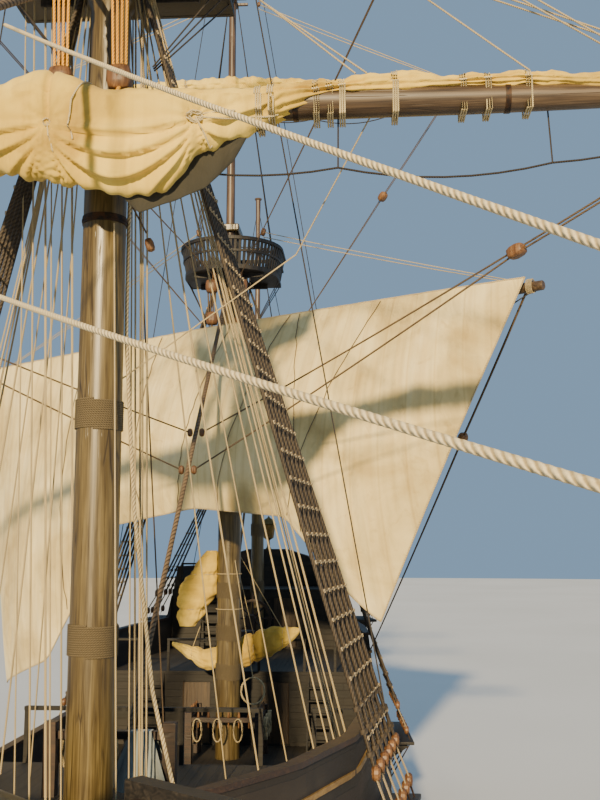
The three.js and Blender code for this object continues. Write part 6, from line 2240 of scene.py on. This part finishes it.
def dress_solids() -> None:
    """Gives every solid that stays in view its own finish."""
    rows = {
        "deck_planks": ("waist_deck", "forecastle_deck", "quarterdeck", "poop_deck"),
        "bulkhead_planks": ("forecastle_bulkhead", "cabin_bulkhead", "poop_bulkhead"),
        "ochre_door": ("forecastle_door", "cabin_door_port", "cabin_door_starboard", "poop_door"),
        "tarred_athwart": ("hatch_coaming", "hatch_grating", "cathead_port", "cathead_starboard"),
        "red_upright": ("wheel_stand", "steering_wheel", "capstan"),
            "red_athwart": ("fore_bitts", "main_fife_rail"),
        "tarred_upright": ("rudder",), "tarred_long": ("beakhead",), "gallery_planks": ("stern_gallery",),
        "forged_iron": ("anchor_port", "anchor_starboard"), "cast_brass": ("stern_lantern",),
    }
    for finish, nodes in rows.items():
        for node in nodes:
            slots = frame["nodes"][node].data.materials
            slots.clear()
            slots.append(finish_named(finish))


@dataclass
class DeckGear:
    """Coils on the pin rails, belaying pins and a tarpaulin."""

    def build(self) -> None:
        """Builds what lies and hangs about the decks."""
        self._pins()
        self._coils()
        self._tarp()

    @staticmethod
    def _pins() -> None:
        """Belaying pins along the bitts and the fife rail."""
        pin = turned([(-0.26, 0.012), (-0.2, 0.019), (-0.02, 0.021), (0.0, 0.034), (0.04, 0.036),
                      (0.14, 0.02),
                      (0.2, 0.026), (0.23, 0.012)], 8)
        places = [Matrix.Translation((8.7, y, 5.8)) for y in np.linspace(-0.62, 0.02, 4)]
        places += [Matrix.Translation((x, s * 0.9, 4.05)) for s in (-1, 1) for x
                   in np.linspace(-4.25, -3.2, 5)]
        places += [Matrix.Translation((-3.0, y, 4.05)) for y in np.linspace(-0.65, 0.65, 6)]
        dress(copies(pin, places), "belaying_pins", "block_ash", "ship")

    @staticmethod
    def _coils(turns: int = 5, parts: int = 20) -> None:
        """Hanging coils of rope on the pins, ahead of a rail athwart, behind it, or outside one fore and aft.

        Args:
            turns: turns of each coil.
            parts: corners of a turn.
        """
        coils = {
            "fore_bitt_coils": [*((8.61, y, 5.78, -1) for y in (-0.62, -0.2)),
                                *((8.79, y, 5.78, 1) for y in (-0.41, 0.02))],
            "fife_rail_coils": [*((-2.9, y, 4.03, 1) for y in (-0.65, -0.13, 0.39)),
                                *((x, y, 4.03, 0) for y in (-1.0, 1.0) for x in (-4.25, -3.72, -3.2))]}
        for name, spots in coils.items():
            lines = []
            for x, y, z, ahead in spots:
                points = []
                for i in range(turns * parts + 1):
                    a, out = i * TURN / parts, 0.02 + 0.018 * (i // parts)
                    side = (0.115 + 0.012 * math.sin(2.3 * a)) * math.sin(a)
                    shift = (ahead * out, side) if ahead else (side, math.copysign(out, y))
                    points.append((x + shift[0], y + shift[1], z - 0.27 + 0.28 * math.cos(a)))
                lines.append(Line(points, 0.013))
            rope(name, lines, "manila_rope")

    @staticmethod
    def _tarp() -> None:
        """A tarpaulin hung over the port half of the fore bitts' rail."""
        middle, top, half = 0.45, 5.802, 0.075
        u, v = np.meshgrid(np.linspace(0, 1, 50), np.linspace(-1, 1, 90), indexing="ij")
        drop = np.where(v < 0, 0.72 + 0.07 * np.sin(5 * u), 0.5 + 0.08 * np.cos(4 * u))
        run = np.abs(v) * (drop + half)
        down = np.clip(run - half, 0, None)
        flare = 0.07 * np.sin(9 * u + 1.2 * np.sign(v)) * np.clip(down * 2.5, 0, 1) + 0.02
        x = 8.7 - np.sign(v) * (np.minimum(run, half) + (0.012 + 0.05 * down + np.abs(flare) * down * 2))
        places = np.stack([x, middle + (u - 0.5) * (0.3 + 0.75 * down), top - down + 0.004], axis=-1)
        piece = thickened(grid_mesh("bitts_tarpaulin", places, places[..., 1:], False), 0.005)
        dress(piece, "bitts_tarpaulin", "tarpaulin", "ship", (), 60.0)


AWNING = np.array([
    (-1.6, 5.76, 0.06, 0.05), (-1.2, 5.56, 0.18, 0.18), (-0.7, 5.33, 0.24, 0.27), (0.2, 5.5, 0.26, 0.43),
    (0.8, 5.72, 0.24, 0.42), (1.3, 5.89, 0.18, 0.32), (1.65, 6.0, 0.11, 0.2), (1.85, 6.12, 0.05, 0.06)])
STAYSAIL = np.array([
    (6.25, -1.12, 0.18, 0.11), (6.45, -1.09, 0.34, 0.19), (6.9, -0.96, 0.46, 0.23), (7.15, -0.85, 0.56, 0.26),
    (7.4, -0.8, 0.54, 0.26), (7.8, -0.62, 0.34, 0.22), (8.1, -0.53, 0.25, 0.17), (8.25, -0.48, 0.12, 0.09)])


@dataclass
class StowedSails:
    """The awning slung behind the main mast and the staysail lashed to its starboard side."""

    mast: MastPlan = MAIN
    mast_skin: float = 0.322
    awning_x: float = -4.33
    staysail_x: float = -3.9
    awning_ties: tuple[float, ...] = (-1.05, -0.25, 0.62, 1.4)
    staysail_ties: tuple[float, ...] = (6.7, 7.62)

    def _off_the_mast(self, places: np.ndarray) -> np.ndarray:
        """Moves what would lie in the mast out to its skin.

        Args:
            places: an array of places.

        Returns:
            The places, clear of the mast.
        """
        across = places[..., :2] - (self.mast.x, 0.0)
        reach = np.linalg.norm(across, axis=-1)[..., None]
        out = np.where(reach < self.mast_skin, across / np.maximum(reach, 0.01) * self.mast_skin, across)
        return np.concatenate([out + (self.mast.x, 0.0), places[..., 2:]], axis=-1)

    def _bag(self, name: str, rows: np.ndarray, upright: bool, ties: tuple[float, ...]) -> None:
        """One bundle of canvas with folds that gather at its ties.

        Args:
            name: its node, which the piece stands for.
            rows: place along it, middle across, and the half sizes.
            upright: True where it stands beside the mast, False where it lies athwart.
            ties: where it is tied.
        """
        along, phi = np.meshgrid(np.linspace(rows[0, 0], rows[-1, 0], 110), np.arange(72) * TURN / 72,
                                 indexing="ij")
        middle, first, second = (eased(along, rows[:, 0], rows[:, k], 0.08) for k in (1, 2, 3))
        shade = np.stack([np.cos(phi), np.sin(phi), along * 1.4], axis=-1)
        size = 0.97 + 0.12 * rough(shade, (1.6, 1.6, 1.6), 3.0) + 0.06 * rough(shade, (4.0, 4.0, 3.0), 8.0)
        size += 0.05 * np.sin(TURN * (along / 0.34 + 0.4 * np.sin(2 * phi)))
        for tie in ties:
            gap = np.abs(along - tie)
            size -= 0.13 * np.exp(-(gap / 0.05) ** 2) - 0.05 * np.cos(15 * phi) * np.exp(-gap / 0.18)
        if upright:
            places = [self.staysail_x + second * size * np.cos(phi), middle + first * size * np.sin(phi),
                      along]
        else:
            places = [self.awning_x + first * size * np.cos(phi), along, middle + second * size * np.sin(phi)]
        roll(f"{name}_bag", along, np.linspace(0, 2, 73), self._off_the_mast(np.stack(places, axis=-1)),
             "furled_canvas", "ship", name)

    def build(self) -> None:
        """Builds both bundles, what ties them and the coil beside them."""
        self._bag("stowed_awning", AWNING, False, self.awning_ties)
        self._bag("stowed_staysail", STAYSAIL, True, self.staysail_ties)
        turn = np.linspace(0, TURN, 31)
        lines = []
        for y in self.awning_ties:
            z, deep, high = (float(np.interp(y, AWNING[:, 0], AWNING[:, k])) for k in (1, 2, 3))
            loop = [self.awning_x + deep * 0.8 * np.cos(turn), y + 0 * turn, z + high * 0.8 * np.sin(turn)]
            lines += [Line(self._off_the_mast(np.stack(loop, axis=-1)), 0.012),
                      Line([(self.awning_x, y, z + high * 0.75), (-4.16, 0.05 * y, 8.4)], 0.011)]
        for z in self.staysail_ties:
            y, half, deep = (float(np.interp(z, STAYSAIL[:, 0], STAYSAIL[:, k])) for k in (1, 2, 3))
            loop = [self.staysail_x + deep * 0.8 * np.cos(turn), y + half * 0.8 * np.sin(turn), z + 0 * turn]
            lines += [Line(self._off_the_mast(np.stack(loop, axis=-1)), 0.013),
                      Line([(self.mast.x + 0.335 * math.cos(a), 0.335 * math.sin(a), z + 0.02)
                            for a in turn], 0.013)]
        rope("stowed_sail_ties", lines, "manila_rope")
        coil = [(-2.95, 0.75 + (0.3 + 0.012 * math.sin(2.7 * a)) * math.sin(a), 4.72 + 0.33 * math.cos(a))
                for a in np.linspace(0, 4 * TURN, 97)]
        rope("main_mast_coil", [Line(coil, 0.018), Line([(-2.95, 0.75, 5.04), (-3.45, 0.2, 8.0)], 0.012)],
             "manila_rope")


@dataclass
class RunningRigging:
    """The pale lines that run down beside the foremast and over to the deck, and those to the fore yard."""

    falls: tuple[tuple[float, float], ...] = (
        (-1.45, -1.15), (-1.32, -0.96), (-1.15, -0.75), (-1.05, -0.66), (-0.89, -0.52), (-0.74, -0.38),
        (0.2, 0.42), (0.24, 0.49), (0.33, 0.54), (0.36, 0.6), (0.42, 0.65))
    fan: tuple[tuple[float, float], ...] = ((0.3, 1.5), (0.34, 2.0), (0.4, 2.45), (0.46, 2.9), (0.52, 3.3))
    yard_lines: tuple[tuple[float, float], ...] = ((17.8, 3.55), (17.6, 3.7), (19.5, 5.83), (19.7, 7.33),
                                                   (19.9, 7.5))

    def build(self) -> None:
        """Builds the lines and their blocks."""
        top, deck = 16.57, 4.92
        lines = [Line([(9.3, head, top), (9.3 - 0.05 * (k % 3), foot, deck)], 0.011 + 0.003 * (k % 3))
                 for k, (head, foot) in enumerate(self.falls)]
        for side in (1, -1):
            for k, (head, foot) in enumerate(self.fan):
                lines.append(Line([(9.72, side * head, top), (7.6 - 0.1 * k, side * foot, deck)],
                                  0.012 + 0.003 * (k % 2)))
            for k in range(4):
                x = 8.5 - 0.55 * k
                foot = (x, side * (hull_half(x, 5.4) - 0.4), 5.1)
                lines.append(Line([(9.5, side * (0.44 + 0.03 * k), top), foot], 0.012 + 0.004 * (k % 2)))
        slack = [(9.7, 0.32, 14.6), (9.62, 0.3, 11.4), (9.62, 0.46, 9.0), (9.9, 0.84, 6.47),
                 (10.6, 1.3, 5.33),
                 (10.95, 1.5, 4.93)]
        lines += [Line([(10.06, 0.2, 12.8), (10.2, 0.47, deck)], 0.012),
                  Line(evenly(np.array(slack), 0.4), 0.028),
                  Line([(9.63, 0.27, 10.7), (9.75, 2.7, 12.4)], 0.01)]
        rope("fore_falls", lines, "manila_rope")
        dark = [Line([(9.3, 0.14, top), (8.6, 0.8, deck)], 0.011),
                Line([(9.9, 0.3, 13.3), (9.9, 0.62, 12.7)], 0.014)]
        rope("fore_dark_falls", dark, "brown_rope")
        Blocks("fore_fall_block", "ship", 0.16, [((9.9, 0.67, 12.53), (0, 0.3, -1))]).build()
        for side, word in SIDES:
            for k, (height, y) in enumerate(self.yard_lines):
                end = FORE_YARD.at(FORE_YARD.ahead, side * y, FORE_YARD.radius(y) + 0.2)
                lead(f"fore_yard_line_{word}_{k}", Line([(10.2, side * 0.12, height), end], 0.012, 0.004, 12),
                     "manila_rope", "fore_yard")
            line = Line([(9.75, side * 2.7, 12.4), FORE_YARD.at(0.85, side * 3.94, 0.2)], 0.01)
            lead(f"fore_yard_leechline_{word}", line, "manila_rope", "fore_yard")


def main() -> None:
    """Builds the studio, then the ship from the hull up."""
    logging.basicConfig(level=logging.INFO, format="%(message)s")
    studio = Studio()
    studio.camera()
    studio.lights()
    studio.floor()
    dress_solids()
    HullSkin().build()
    for plan, bands in ((FORE, (12.9, 10.15, 7.15)), (MAIN, (12.4, 9.4, 7.2, 6.1, 5.1)),
                        (MIZZEN, (11.9, 8.9, 7.0))):
        LowerMast(plan, bands).build()
        SlattedTop(plan).build()
        Topmast(plan).build()
        for side, word in SIDES:
            ShroudGang(plan, side, word).build()
    Bowsprit().build()
    for plan, foot in ((FORE, bowsprit_at(21.3)), (MAIN, (8.25, 0.0, 4.9)), (MIZZEN, (-3.95, 0.0, 5.95))):
        Stay(plan, foot).build()
    topmast_stays()
    for plan, mast, lift_to in ((FORE_YARD, FORE, 17.9), (MAIN_YARD, MAIN, 17.0),
                                (FORE_TOPSAIL_YARD, FORE, 24.5),
                                (MAIN_TOPSAIL_YARD, MAIN, 23.7)):
        YardSpar(plan, mast, lift_to, 0.9 if plan.lower else 0.75).build()
    YardSpar(SPRITSAIL_YARD, None, footrope=0.7).build()
    FurledSail(FORE_YARD, "fore_course_roll", "fore_course", FURLED_COURSE, (-2.6, 2.9), COURSE_GASKETS,
               FORE_BAYS,
               176).build()
    for plan, sail in ((FORE_TOPSAIL_YARD, "fore_topsail"), (MAIN_TOPSAIL_YARD, "main_topsail")):
        FurledSail(plan, f"{sail}_roll", sail, FURLED_TOPSAIL, (-1.6, 1.6), TOPSAIL_GASKETS).build()
    SetCourse().build()
    MizzenGaff().build()
    JeerTackles(FORE_YARD, FORE).build()
    JeerTackles(MAIN_YARD, MAIN, "brown_rope", 0.56).build()
    braces()
    Hawsers(Sight(studio)).build()
    StowedSails().build()
    RunningRigging().build()
    DeckGear().build()


if __name__ == "__main__":
    main()
